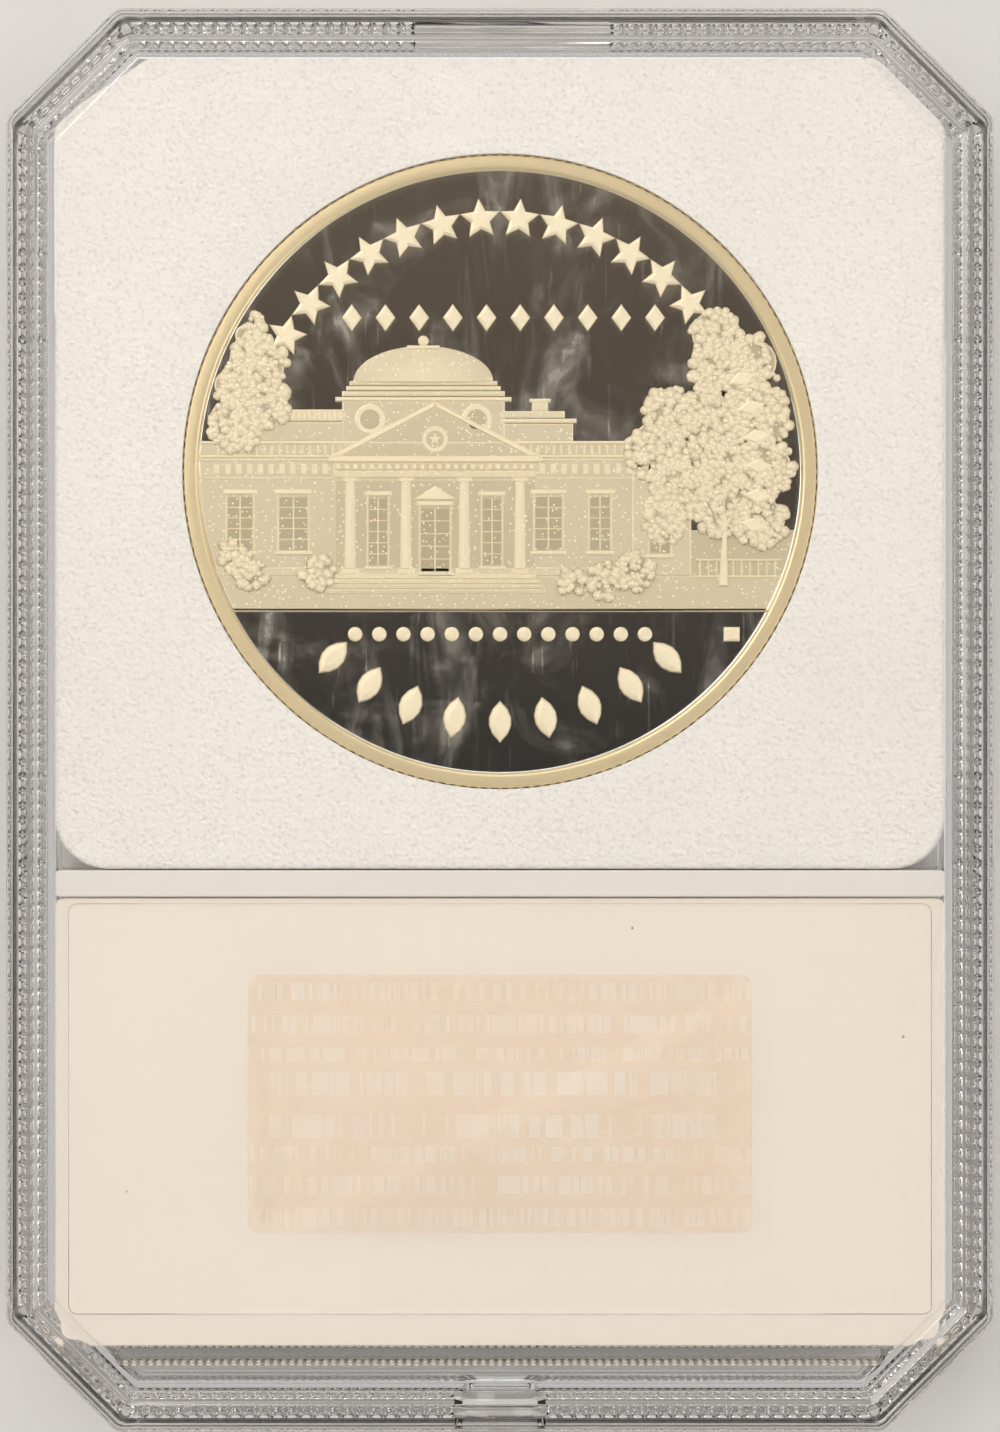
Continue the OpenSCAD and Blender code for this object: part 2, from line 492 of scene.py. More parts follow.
def addBump(tree, shader, height, strength, distance):
    bump = addNode(tree, "ShaderNodeBump", {"Height": height, "Strength": strength, "Distance": distance})
    tree.links.new(bump.outputs[0], shader.inputs["Normal"])


def bandMask(tree, value, low, high):
    # 1 between two values, 0 outside
    above = addMath(tree, "GREATER_THAN", value, low)
    below = addMath(tree, "LESS_THAN", value, high)
    return addMath(tree, "MULTIPLY", above, below)


fineBump = 0.00002  # depth of the grain on metal, haze and film


clearPlastic = {
    "tint": (0.985, 0.982, 0.985),
    "shadowTint": (0.975, 0.97, 0.965),
    "shadowEdge": (0.80, 0.79, 0.79),
    "ior": 1.585,
    "roughness": 0.015,
    "hairlineRoughness": 0.25,
    "hairlineDensity": 0.13,
    "smudgeSize": 9.0,
    "smudgeRoughness": 0.03,
}


def clearPlasticMaterial(wear):
    values = clearPlastic
    material, tree, shader = newMaterial("clearPlastic")
    shader.inputs["Base Color"].default_value = (*values["tint"], 1)
    shader.inputs["IOR"].default_value = values["ior"]
    shader.inputs["Transmission Weight"].default_value = 1.0
    marks = placeGroup(tree, wear, {"Hairline Density": values["hairlineDensity"],
                                    "Smudge Size": values["smudgeSize"]})
    lined = addMath(tree, "MULTIPLY", marks.outputs["Hairlines"], values["hairlineRoughness"])
    smudged = addMath(tree, "MULTIPLY", marks.outputs["Smudges"], values["smudgeRoughness"])
    both = addMath(tree, "ADD", lined, smudged)
    rough = addMath(tree, "ADD", both, values["roughness"])
    tree.links.new(rough, shader.inputs["Roughness"])
    # lamps shine through the plastic, less where it is seen edge on
    rays = addNode(tree, "ShaderNodeLightPath")
    facing = addNode(tree, "ShaderNodeLayerWeight", {"Blend": 0.25})
    tint = mixColour(tree, facing.outputs["Facing"], values["shadowTint"], values["shadowEdge"])
    through = addNode(tree, "ShaderNodeBsdfTransparent", {"Color": tint})
    mix = addNode(tree, "ShaderNodeMixShader", {0: rays.outputs["Is Shadow Ray"]})
    tree.links.new(shader.outputs[0], mix.inputs[1])
    tree.links.new(through.outputs[0], mix.inputs[2])
    tree.links.new(mix.outputs[0], tree.nodes["Material Output"].inputs["Surface"])
    return material


foam = {
    "light": (0.95, 0.925, 0.87),
    "shade": (0.86, 0.835, 0.785),
    "speck": (0.70, 0.68, 0.65),
    "roughness": 0.85,
    "grainSize": 0.3,
    "speckSize": 0.42,
    "speckShare": 0.28,
    "speckStrength": 0.4,
    "mottleScale": 90.0,
    "glow": 0.15,
    "glowRadius": (0.0012, 0.001, 0.0008),
    "bump": 0.8,
    "bumpDeep": 0.0003,
}


def foamMaterial(speckle):
    material, tree, shader = newMaterial("whiteFoam")
    grain = placeGroup(tree, speckle, {"Grain Size": foam["grainSize"], "Speck Size": foam["speckSize"],
                                       "Speck Share": foam["speckShare"]})
    place = addNode(tree, "ShaderNodeTexCoord").outputs["Object"]
    broad = addNode(tree, "ShaderNodeTexNoise",
                    {"Vector": place, "Scale": foam["mottleScale"], "Detail": 2.0})
    base = mixColour(tree, broad.outputs["Fac"], foam["light"], foam["shade"])
    fine = addMath(tree, "MULTIPLY", grain.outputs["Specks"], foam["speckStrength"])
    tree.links.new(mixColour(tree, fine, base, foam["speck"]), shader.inputs["Base Color"])
    shader.inputs["Roughness"].default_value = foam["roughness"]
    shader.inputs["Subsurface Weight"].default_value = foam["glow"]
    shader.inputs["Subsurface Radius"].default_value = foam["glowRadius"]
    shader.inputs["Subsurface Scale"].default_value = 1.0
    addBump(tree, shader, grain.outputs["Height"], foam["bump"], foam["bumpDeep"])
    return material


card = {
    "cream": (0.9, 0.83, 0.725),
    "creamDark": (0.87, 0.795, 0.69),
    "speck": (0.35, 0.3, 0.27),
    "speckShare": 0.018,
    "mottleScale": 60.0,
    "border": (0.16, 0.03, 0.12),
    "borderInset": 1.6,
    "borderWide": 0.7,
    "barInset": 4.2,
    "barWide": 9.0,
    "rowTall": 4.2,
    "barGap": 0.9,
    "ink": (0.20, 0.19, 0.24),
    "front": (0.88, 0.86, 0.82),
    "roughness": 0.6,
    "grainSize": 0.35,
    "speckSize": 4.5,
    "bumpDeep": 0.00003,
}


def cardMaterial(speckle):
    # blank cream stock: a faint fibre mottle and a few specks
    material, tree, shader = newMaterial("creamCard")
    grain = placeGroup(tree, speckle, {"Grain Size": card["grainSize"], "Speck Size": card["speckSize"],
                                       "Speck Share": card["speckShare"]})
    place = addNode(tree, "ShaderNodeTexCoord").outputs["Object"]
    broad = addNode(tree, "ShaderNodeTexNoise",
                    {"Vector": place, "Scale": card["mottleScale"], "Detail": 3.0})
    base = mixColour(tree, broad.outputs["Fac"], card["cream"], card["creamDark"])
    tree.links.new(mixColour(tree, grain.outputs["Specks"], base, card["speck"]), shader.inputs["Base Color"])
    shader.inputs["Roughness"].default_value = card["roughness"]
    addBump(tree, shader, grain.outputs["Height"], 0.15, card["bumpDeep"])
    return material


def printedMaterial(speckle):
    # the label's front: a plain border line and rows of bars on pale card
    material, tree, shader = newMaterial("printedCard")
    grain = placeGroup(tree, speckle, {"Grain Size": card["grainSize"], "Speck Size": card["speckSize"],
                                       "Speck Share": 0.0})
    place = addNode(tree, "ShaderNodeTexCoord").outputs["Object"]
    halfX, halfY = (cardHigh.x - cardLow.x) / 2, (cardHigh.y - cardLow.y) / 2
    centred = addNode(tree, "ShaderNodeVectorMath", {0: place, 1: (0, (cardLow.y + cardHigh.y) / 2, 0)},
                      operation="SUBTRACT")
    folded = addNode(tree, "ShaderNodeVectorMath", {0: centred.outputs[0]}, operation="ABSOLUTE")
    split = addNode(tree, "ShaderNodeSeparateXYZ", {0: folded.outputs[0]})
    gapX = addMath(tree, "SUBTRACT", halfX, split.outputs["X"])
    gapY = addMath(tree, "SUBTRACT", halfY, split.outputs["Y"])
    edge = addMath(tree, "MINIMUM", gapX, gapY)
    border = bandMask(tree, edge, card["borderInset"] * mm, (card["borderInset"] + card["borderWide"]) * mm)
    inside = bandMask(tree, edge, card["barInset"] * mm, 1.0)
    rows = addNode(tree, "ShaderNodeTexBrick", {"Vector": centred.outputs[0], "Color1": (1, 1, 1, 1),
                                                "Color2": (1, 1, 1, 1), "Mortar": (0, 0, 0, 1), "Scale": 1.0,
                                                "Mortar Size": card["barGap"] * mm,
                                                "Brick Width": card["barWide"] * mm,
                                                "Row Height": card["rowTall"] * mm},
                   offset=0.37, squash=0.6, squash_frequency=2)
    single = addNode(tree, "ShaderNodeSeparateColor", {0: rows.outputs["Color"]})
    bars = addMath(tree, "MULTIPLY", single.outputs[0], inside)
    bordered = mixColour(tree, border, card["front"], card["border"])
    tree.links.new(mixColour(tree, bars, bordered, card["ink"]), shader.inputs["Base Color"])
    shader.inputs["Roughness"].default_value = card["roughness"]
    addBump(tree, shader, grain.outputs["Height"], 0.12, card["bumpDeep"])
    return material


def plainMaterial(name, colour, roughness, metallic, speckle):
    # one colour with a fine grain in its gloss
    material, tree, shader = newMaterial(name)
    shader.inputs["Base Color"].default_value = (*colour, 1)
    shader.inputs["Metallic"].default_value = metallic
    grain = placeGroup(tree, speckle, {"Grain Size": 0.2, "Speck Size": 1.0, "Speck Share": 0.0})
    spread = addNode(tree, "ShaderNodeMapRange", {"Value": grain.outputs["Height"],
                                                  "To Min": roughness - 0.06, "To Max": roughness + 0.06})
    tree.links.new(spread.outputs[0], shader.inputs["Roughness"])
    addBump(tree, shader, grain.outputs["Height"], 0.1, fineBump)
    return material


proof = {
    "mirror": (0.82, 0.81, 0.74),
    "mirrorSmudged": (0.84, 0.79, 0.69),
    "mirrorRoughness": 0.03,
    "smudgeRoughness": 0.3,
    "hairlineRoughness": 0.12,
    "wipeRoughness": 0.34,
    "wipeScale": 300.0,
    # frost colours: the metal at full painted light, its painted shade, and paler specks that paint in glints
    "frost": (0.98, 0.88, 0.65),
    "frostPaintedShade": (0.50, 0.43, 0.29),
    "frostPaintedGlint": (1.0, 0.94, 0.76),
    "frostRoughness": 0.55,
    "frostMetallic": 0.72,
    "frostGrain": 0.09,
    "rim": (0.91, 0.77, 0.49),
    "rimRoughness": 0.42,
    "rimMetallic": 0.85,
}


def mirrorMaterial(wear):
    material, tree, shader = newMaterial("proofMirror")
    marks = placeGroup(tree, wear, {"Hairline Density": 0.2, "Smudge Size": 4.5})
    shader.inputs["Metallic"].default_value = 1.0
    haze = addMath(tree, "MULTIPLY", marks.outputs["Smudges"], proof["smudgeRoughness"])
    lines = addMath(tree, "MULTIPLY", marks.outputs["Hairlines"], proof["hairlineRoughness"])
    # broad wipe marks that run up and down the field
    place = addNode(tree, "ShaderNodeTexCoord").outputs["Object"]
    stretched = addNode(tree, "ShaderNodeMapping",
                        {"Vector": place, "Rotation": (0, 0, 0.12), "Scale": (1.0, 0.2, 1.0)})
    wipe = addNode(tree, "ShaderNodeTexNoise", {"Vector": stretched.outputs[0], "Scale": proof["wipeScale"],
                                                "Detail": 4.0, "Roughness": 0.65, "Distortion": 0.8})
    wiped = addNode(tree, "ShaderNodeMapRange", {"Value": wipe.outputs["Fac"], "From Min": 0.5,
                                                 "From Max": 0.8, "To Max": proof["wipeRoughness"]})
    both = addMath(tree, "ADD", haze, lines)
    more = addMath(tree, "ADD", both, wiped.outputs[0])
    rough = addMath(tree, "ADD", more, proof["mirrorRoughness"])
    tree.links.new(rough, shader.inputs["Roughness"])
    tree.links.new(mixColour(tree, marks.outputs["Smudges"], proof["mirror"], proof["mirrorSmudged"]),
                   shader.inputs["Base Color"])
    return material


def frostMaterial(speckle):
    # sandblasted devices: matt metal with a fine sparkle painted in as paler glint specks; a light level at each
    # point paints light and shade into the colour, painted shade at the foot of the relief and painted highlights
    # along its shoulders
    material, tree, shader = newMaterial("proofFrost")
    grain = placeGroup(tree, speckle, {"Grain Size": proof["frostGrain"], "Speck Size": 0.3,
                                       "Speck Share": 0.2})
    shader.inputs["Metallic"].default_value = proof["frostMetallic"]
    tone = addNode(tree, "ShaderNodeAttribute", attribute_name="tone")
    # painted light and shade: the light level at each point mixes painted shade into the frost
    paintedShading = mixColour(tree, tone.outputs["Fac"], proof["frostPaintedShade"], proof["frost"])
    # paler specks painted in as sparkle glints
    tree.links.new(mixColour(tree, grain.outputs["Specks"], paintedShading, proof["frostPaintedGlint"]),
                   shader.inputs["Base Color"])
    rough = addNode(tree, "ShaderNodeMapRange", {"Value": grain.outputs["Height"],
                                                 "To Min": proof["frostRoughness"] - 0.1,
                                                 "To Max": proof["frostRoughness"] + 0.12})
    tree.links.new(rough.outputs[0], shader.inputs["Roughness"])
    addBump(tree, shader, grain.outputs["Height"], 0.35, fineBump)
    return material


seal = {
    "film": (0.75, 0.36, 0.1),
    "alpha": 0.075,
    "markAlpha": 0.01,
    "roughness": 0.35,
    "smallRows": 8,
    "smallBars": 74.0,
    "largeRows": 6,
    "largeBars": 44.0,
    "largeHalf": 0.167,
}


def barRows(tree, place, rows, bars):
    # rows of plain upright bars of uneven width, as a mask; place runs from 0 to 1 over the film
    split = addNode(tree, "ShaderNodeSeparateXYZ", {0: place})
    count = addMath(tree, "MULTIPLY", split.outputs["Y"], float(rows))
    part = addMath(tree, "FRACT", count)
    row = addMath(tree, "FLOOR", count)
    apart = addMath(tree, "MULTIPLY", row, 7.3)
    across = addMath(tree, "MULTIPLY", split.outputs["X"], bars)
    cell = addNode(tree, "ShaderNodeCombineXYZ", {0: across, 1: apart})
    noise = addNode(tree, "ShaderNodeTexNoise", {"Vector": cell.outputs[0], "Scale": 1.0, "Detail": 1.0})
    marks = addNode(tree, "ShaderNodeMapRange",
                    {"Value": noise.outputs["Fac"], "From Min": 0.46, "From Max": 0.52})
    return addMath(tree, "MULTIPLY", bandMask(tree, part, 0.2, 0.75), marks.outputs[0])


def sealMaterial(speckle):
    # very thin pinkish film; its rows of bars are thinner still, so they look paler
    material, tree, shader = newMaterial("sealFilm")
    grain = placeGroup(tree, speckle, {"Grain Size": 0.3, "Speck Size": 3.0, "Speck Share": 0.01})
    place = addNode(tree, "ShaderNodeTexCoord").outputs["Object"]
    wide, tall = sealHigh.x - sealLow.x, sealHigh.y - sealLow.y
    unit = addNode(tree, "ShaderNodeMapping", {"Vector": place, "Location": (0.5, -sealLow.y / tall, 0),
                                               "Scale": (1 / wide, 1 / tall, 0)}).outputs[0]
    small = barRows(tree, unit, seal["smallRows"], seal["smallBars"])
    large = barRows(tree, unit, seal["largeRows"], seal["largeBars"])
    split = addNode(tree, "ShaderNodeSeparateXYZ", {0: unit})
    middle = bandMask(tree, split.outputs["Y"], 0.5 - seal["largeHalf"], 0.5 + seal["largeHalf"])
    sides = bandMask(tree, split.outputs["X"], 0.04, 0.93)
    bars = addMath(tree, "MULTIPLY", large, sides)
    pattern = addNode(tree, "ShaderNodeMix", {0: middle, 2: small, 3: bars}).outputs[0]
    fade = addNode(tree, "ShaderNodeTexNoise",
                   {"Vector": place, "Scale": 110.0, "Detail": 2.0}).outputs["Fac"]
    strength = addNode(tree, "ShaderNodeMapRange",
                       {"Value": fade, "From Min": 0.35, "From Max": 0.65, "To Min": 0.45, "To Max": 1.0})
    mask = addMath(tree, "MULTIPLY", pattern, strength.outputs[0])
    alpha = addNode(tree, "ShaderNodeMapRange", {"Value": mask, "To Min": seal["alpha"],
                                                 "To Max": seal["markAlpha"]})
    tree.links.new(alpha.outputs[0], shader.inputs["Alpha"])
    shader.inputs["Base Color"].default_value = (*seal["film"], 1)
    shader.inputs["Roughness"].default_value = seal["roughness"]
    addBump(tree, shader, grain.outputs["Height"], 0.08, fineBump)
    return material


# opaque cream for the top of the divider and the end beads: painted scattered light inside the clear plastic, on a
# cloudy weld
paintedScatter = {"haze": (0.81, 0.78, 0.72), "roughness": 0.5, "fromSplit": 1.5}

speckle = speckleGroup()
wear = wearGroup()
plasticMaterial = clearPlasticMaterial(wear)
whiteFoam = foamMaterial(speckle)
creamCard = cardMaterial(speckle)
printedCard = printedMaterial(speckle)
proofMirror = mirrorMaterial(wear)
proofFrost = frostMaterial(speckle)
rimMaterial = plainMaterial("proofRim", proof["rim"], proof["rimRoughness"], proof["rimMetallic"], speckle)
sealFilm = sealMaterial(speckle)
weldHaze = plainMaterial("weldHaze", paintedScatter["haze"], paintedScatter["roughness"], 0.0, speckle)
print("materials ready")


shell = {
    "rimTall": 0.7,
    "rimWide": 1.75,
    "slopeEnd": 2.45,
    "wall": 2.75,
    "windowThick": 1.3,
    "skirtTall": 1.3,
    "partGap": 0.04,
    "beadPitch": 0.85,
    "finePitch": 0.48,
    "beadTall": 0.5,
    "fineBeadTall": 0.34,
    "ribPitch": 0.5,
    "ribOut": 0.06,
    "ribGap": 0.04,
    "padInsets": (0.9, 2.0, 0.4),
}
labelLow, labelHigh = cardLow.y / mm - 0.05, cardHigh.y / mm + 0.05
coinRoomLow = insertLow.y / mm - 0.05
insideHalf = halfWide - shell["wall"]
roof = slabTall - shell["rimTall"] - shell["windowThick"]
floorHeight = shell["rimTall"] + shell["windowThick"]
endRibLow = labelLow - 0.9


def beadRow(skin, start, end, z, tall, pitch, weights=(0.0, 0.75, 1.0, 0.75, 0.0), keyed=True, reshape=None):
    rows = []
    for index, weight in enumerate(weights):
        inset = start + (end - start) * index / (len(weights) - 1)
        rows.append(skin.addRow(inset, z, pitch=pitch, push=tall * weight, keyed=keyed, reshape=reshape))
    return rows


def pryCut(low, high):
    # the slot is cut where a row crosses it: points inside it move to the slot's face
    def reshape(x, y, z, inset):
        if not onPry(x, y, inset):
            return z
        return max(z, high) if low is None else min(z, low)
    return reshape


def makeBackShell():
    s = shell
    skin = Skin()
    top = slabTall
    window = top - s["rimTall"]
    face = splitHeight + s["partGap"]
    tip = splitHeight - s["skirtTall"]
    cut = pryCut(None, splitHeight + slab["pryTall"] / 2)
    outside = [(2.52, window), (s["slopeEnd"], window + 0.015), (2.37, window + 0.07), (1.88, top - 0.2),
               (1.78, top - 0.08), (1.66, top - 0.02), (1.5, top), (0.5, top), (0.3, top - 0.04),
               (0.14, top - 0.14), (0.06, top - 0.32), (0.0, top - 0.9), (0.0, face + 0.16)]
    rows = skin.addRows(outside)
    smooth = {0, 1, 3, 4, 5, 7, 8, 9}
    rows += skin.addRows(((0.0, face + 0.12), (0.03, face + 0.04), (0.1, face), (0.46, face)), keyed=True,
                         reshape=cut)
    firstBead = len(rows)
    rows += beadRow(skin, 0.5, 1.08, face, s["beadTall"], s["beadPitch"], reshape=cut)
    smooth |= set(range(firstBead, firstBead + 4))
    rows.append(skin.addRow(1.12, face, keyed=True, reshape=cut))
    firstBead = len(rows)
    rows += beadRow(skin, 1.2, 1.62, face, s["fineBeadTall"], s["finePitch"], (0.0, 0.8, 0.8, 0.0),
                    reshape=cut)
    smooth |= set(range(firstBead, firstBead + 3))
    rows.append(skin.addRow(1.68, face, keyed=True, reshape=cut))
    rows.append(skin.addRow(2.02, face, keyed=True, reshape=cut))
    for z, weight in ((face - 0.06, 0.0), (face - 0.2, 1.0), (tip + 0.25, 1.0), (tip + 0.1, 0.0)):
        rows.append(skin.addRow(2.05 + 0.09, z, pitch=s["ribPitch"], push=-s["ribOut"] * weight,
                                sideways=True, keyed=True, reshape=cut))
    rows += skin.addRows(((2.16, tip + 0.02), (2.24, tip), (2.62, tip), (2.71, tip + 0.03),
                          (2.75, tip + 0.12)), keyed=True, reshape=cut)
    rows += skin.addRows(((2.75, splitHeight + 0.6), (2.75, roof - 0.2), (2.79, roof - 0.06), (2.9, roof)))
    skin.sweep(rows, smooth)
    skin.cap(rows[0])
    # the end rib on the inside of the window
    endSide = endRibSide()
    endRib = addRib(skin, (-endSide, endSide, endRibLow, labelLow), roof, splitHeight + s["partGap"], 0.3)
    # the shallow pad that rests on the label
    side, low, high = s["padInsets"]
    padBox = (-insideHalf + side, insideHalf - side, labelLow + low, labelHigh - high)
    pad = addRib(skin, padBox, roof, backingHigh.z / mm + 0.05, 0.5, rootRound=0.0)
    skin.capAround(rows[-1], [endRib, pad])
    return skin


def endRibSide():
    # the end rib stops where it would meet the corner walls
    inset = shell["wall"] + shell["ribGap"]
    return (diagonalReach - inset) * math.sqrt(2) + endRibLow


def makeFrontShell():
    s = shell
    skin = Skin()
    window = s["rimTall"]
    face = splitHeight - s["partGap"]
    ledge = splitHeight - s["skirtTall"] - 0.06
    cut = pryCut(splitHeight - slab["pryTall"] / 2, None)
    outside = [(2.52, window), (s["slopeEnd"], window - 0.015), (2.37, window - 0.07), (1.88, 0.2),
               (1.78, 0.08),
               (1.66, 0.02), (1.5, 0.0), (0.5, 0.0), (0.3, 0.04), (0.14, 0.14), (0.06, 0.32), (0.0, 0.9),
               (0.0, face - 0.8)]
    rows = skin.addRows(outside)
    smooth = {0, 1, 3, 4, 5, 7, 8, 9}
    rows += skin.addRows(((0.0, face - 0.12), (0.03, face - 0.04), (0.1, face), (0.46, face), (1.9, face)),
                         reshape=cut)
    wallIn = 1.98
    rows.append(skin.addRow(wallIn, face - 0.05, keyed=True, reshape=cut))
    rows.append(skin.addRow(wallIn, ledge, keyed=True, reshape=cut))
    rows.append(skin.addRow(s["wall"] - 0.06, ledge, reshape=cut))
    rows += skin.addRows(((s["wall"], ledge - 0.06), (s["wall"], floorHeight + 0.2),
                          (2.79, floorHeight + 0.06), (2.9, floorHeight)))
    skin.sweep(rows, smooth)
    skin.cap(rows[0])
    side = insideHalf - s["ribGap"] - 0.02
    divider = addRib(skin, (-side, side, labelHigh, coinRoomLow), floorHeight, roof - 0.05, 0.3)
    endSide = endRibSide()
    endRib = addRib(skin, (-endSide, endSide, endRibLow, labelLow), floorHeight, splitHeight - s["partGap"],
                    0.3)
    skin.capAround(rows[-1], [divider, endRib])
    return skin


knurl = knurlTree()
backShell = skinPiece("backShell", makeBackShell(), knurl, plasticMaterial)
finishPiece(backShell, "back_half", "clear_plastic", plasticMaterial, "back_shell")
frontShell = skinPiece("frontShell", makeFrontShell(), knurl, plasticMaterial)
frontShell.data.materials.append(weldHaze)
for face in frontShell.data.polygons:
    if face.center.z > (splitHeight + paintedScatter["fromSplit"]) * mm:
        face.material_index = 1  # the top of the divider is opaque cream: painted scattered light on a cloudy weld
finishPiece(frontShell, "front_half", "clear_plastic", plasticMaterial, "front_shell")


insertShape = {
    "edgeRound": 0.3,
    "holeRound": 0.1,
    "holeRoom": 0.0,
    "holeSteps": 144,
    "cutLeft": (5.6, 3.8),
    "cutRight": (3.6, 3.6),
    "lowRadius": 3.2,
}


def insertOutline(grow):
    x = insertHigh.x / mm + grow
    y0, y1 = insertLow.y / mm - grow, insertHigh.y / mm + grow
    low = insertShape["lowRadius"] + grow
    points = []
    for centre, first in ((-x + low, 180), (x - low, 270)):
        for step in range(13):
            angle = math.radians(first + 90 * step / 12)
            points.append((centre + low * math.cos(angle), y0 + low + low * math.sin(angle)))
    right, left = insertShape["cutRight"], insertShape["cutLeft"]
    slant = 0.41 * grow
    points += softCorner((x, y0 + 9), (x, y1 - right[1] - slant), (x - right[0] - slant, y1))
    points += softCorner((x, y1 - right[1] - slant), (x - right[0] - slant, y1), (x - 9, y1))
    points += softCorner((-x + 9, y1), (-x + left[0] + slant, y1), (-x, y1 - left[1] - slant))
    points += softCorner((-x + left[0] + slant, y1), (-x, y1 - left[1] - slant), (-x, y1 - 9))
    return points


def softCorner(before, here, after, radius=0.35, steps=4):
    # a short curve in place of a corner
    a, b, c = Vector(before), Vector(here), Vector(after)
    start = b + (a - b).normalized() * radius
    end = b + (c - b).normalized() * radius
    return [tuple(start.lerp(b, t).lerp(b.lerp(end, t), t)) for t in (i / steps for i in range(steps + 1))]


def makeInsert():
    low, high = insertLow.z / mm, insertHigh.z / mm
    r = insertShape["edgeRound"]
    skin = Skin()
    turns = [math.radians(90 * i / 4) for i in range(5)]
    profile = [(-r + r * math.sin(t), low + r - r * math.cos(t)) for t in turns]
    profile += [(-r + r * math.cos(t), high - r + r * math.sin(t)) for t in turns]
    outer = [skin.loop(insertOutline(grow), z) for grow, z in profile]
    skin.walls(outer, True)
    hole = (coinHigh.x - coinLow.x) / 2 / mm + insertShape["holeRoom"]
    cx, cy = coinMiddle.x / mm, coinMiddle.y / mm
    count = insertShape["holeSteps"]
    inner = []
    for grow, z in profile:
        radius = hole - grow * insertShape["holeRound"]
        inner.append(skin.loop([(cx + radius * math.cos(2 * math.pi * i / count),
                                 cy + radius * math.sin(2 * math.pi * i / count)) for i in range(count)], z))
    skin.walls(inner, True)
    for end in (0, -1):
        flat = outer[end] + inner[end]
        points = [[Vector((*skin.corners[i][:2], 0)) for i in loop] for loop in (outer[end], inner[end])]
        for triangle in geometry.tessellate_polygon(points):
            skin.addFace([flat[i] for i in triangle], False)
    return outwards(makePiece("foamInsert", skin.corners, skin.faces, skin.smooth))


finishPiece(makeInsert(), "insert", "white_foam", whiteFoam, "coin_insert")


def makePlate(name, low, high, radius, edge):
    skin = Skin()
    x0, y0, z0 = (v / mm for v in low)
    x1, y1, z1 = (v / mm for v in high)
    loops = [skin.loop(roundedBox(x0 - g, x1 + g, y0 - g, y1 + g, radius + g), z)
             for g, z in ((-edge, z0), (0, z0 + edge), (0, z1 - edge), (-edge, z1))]
    skin.walls(loops)
    skin.addFace(list(loops[0]), False)
    skin.addFace(list(loops[-1]), False)
    return outwards(makePiece(name, skin.corners, skin.faces))


sheets = {"cardCorner": 0.6, "cardEdge": 0.05, "backingEdge": 0.08, "sealCorner": 0.7, "sealEdge": 0.03}
labelCard = makePlate("labelCard", cardLow, cardHigh, sheets["cardCorner"], sheets["cardEdge"])
finishPiece(labelCard, "label", "printed_card", printedCard, "label_card")
backing = makePlate("labelBacking", backingLow, backingHigh, sheets["cardCorner"], sheets["backingEdge"])
finishPiece(backing, "label", "cream_card", creamCard, "label_backing")
sealPlate = makePlate("sealFilm", sealLow, sealHigh, sheets["sealCorner"], sheets["sealEdge"])
finishPiece(sealPlate, "back_half", "seal_film", sealFilm, "security_seal")


coinShape = {
    "rimWide": 0.92,
    "dish": 0.25,
    "steps": 192,
    "reeds": 188,
    "reedOut": 0.07,
    "reedWide": 0.4,
    "fieldReach": 18.04,
    "sink": 0.03,
    "slopeScale": 1.35,
}
coinRadius = (coinHigh.x - coinLow.x) / 2 / mm
coinHalf = (coinHigh.z - coinLow.z) / 2 / mm
fieldHeight = coinHalf - coinShape["dish"]


def makeCoinBody():
    # profile from the middle of one field, over the rim and the edge, to the other field
    s = coinShape
    inner, outer = coinRadius - s["rimWide"], coinRadius - s["reedOut"]
    half = [(inner - 0.12, fieldHeight), (inner - 0.04, fieldHeight + 0.02), (inner + 0.03, coinHalf - 0.07),
            (inner + 0.12, coinHalf - 0.01), (inner + 0.2, coinHalf), (outer - 0.12, coinHalf),
            (outer - 0.05, coinHalf - 0.01), (outer - 0.01, coinHalf - 0.04), (outer, coinHalf - 0.1)]
    profile = half + [(radius, -z) for radius, z in half[::-1]]
    skin = Skin()
    turns = [2 * math.pi * i / s["steps"] for i in range(s["steps"])]
    loops = [skin.loop([(radius * math.cos(t), radius * math.sin(t)) for t in turns], z)
             for radius, z in profile]
    skin.walls(loops, True)
    skin.addFace(list(loops[0]), False)
    skin.addFace(list(loops[-1]), False)
    piece = outwards(makePiece("coinBlank", skin.corners, skin.faces, skin.smooth))
    for material in (rimMaterial, proofMirror):
        piece.data.materials.append(material)
    for face in piece.data.polygons:
        flat = abs(face.normal.z) > 0.9 and abs(face.center.z) < (fieldHeight + 0.015) * mm
        face.material_index = 1 if flat else 0
    return piece


def pointsTree(name, inputs, build):
    # copies of a shape on computed points: build gives each one's place and turn
    tree = newTree(name, [("Count", "NodeSocketInt"), ("Shape", "NodeSocketObject"),
                          ("Material", "NodeSocketMaterial"),
                          *inputs])
    start = addNode(tree, "NodeGroupInput")
    index = addNode(tree, "GeometryNodeInputIndex").outputs[0]
    place, turn = build(tree, start, index)
    points = addNode(tree, "GeometryNodePoints", {"Count": start.outputs["Count"], "Position": place})
    shape = addNode(tree, "GeometryNodeObjectInfo", {"Object": start.outputs["Shape"]})
    copies = addNode(tree, "GeometryNodeInstanceOnPoints", {"Points": points.outputs[0],
                                                            "Instance": shape.outputs["Geometry"]})
    if turn is not None:
        spin = addNode(tree, "FunctionNodeEulerToRotation", {0: turn})
        tree.links.new(spin.outputs[0], copies.inputs["Rotation"])
    finishTree(tree, start, copies.outputs[0])
    return tree


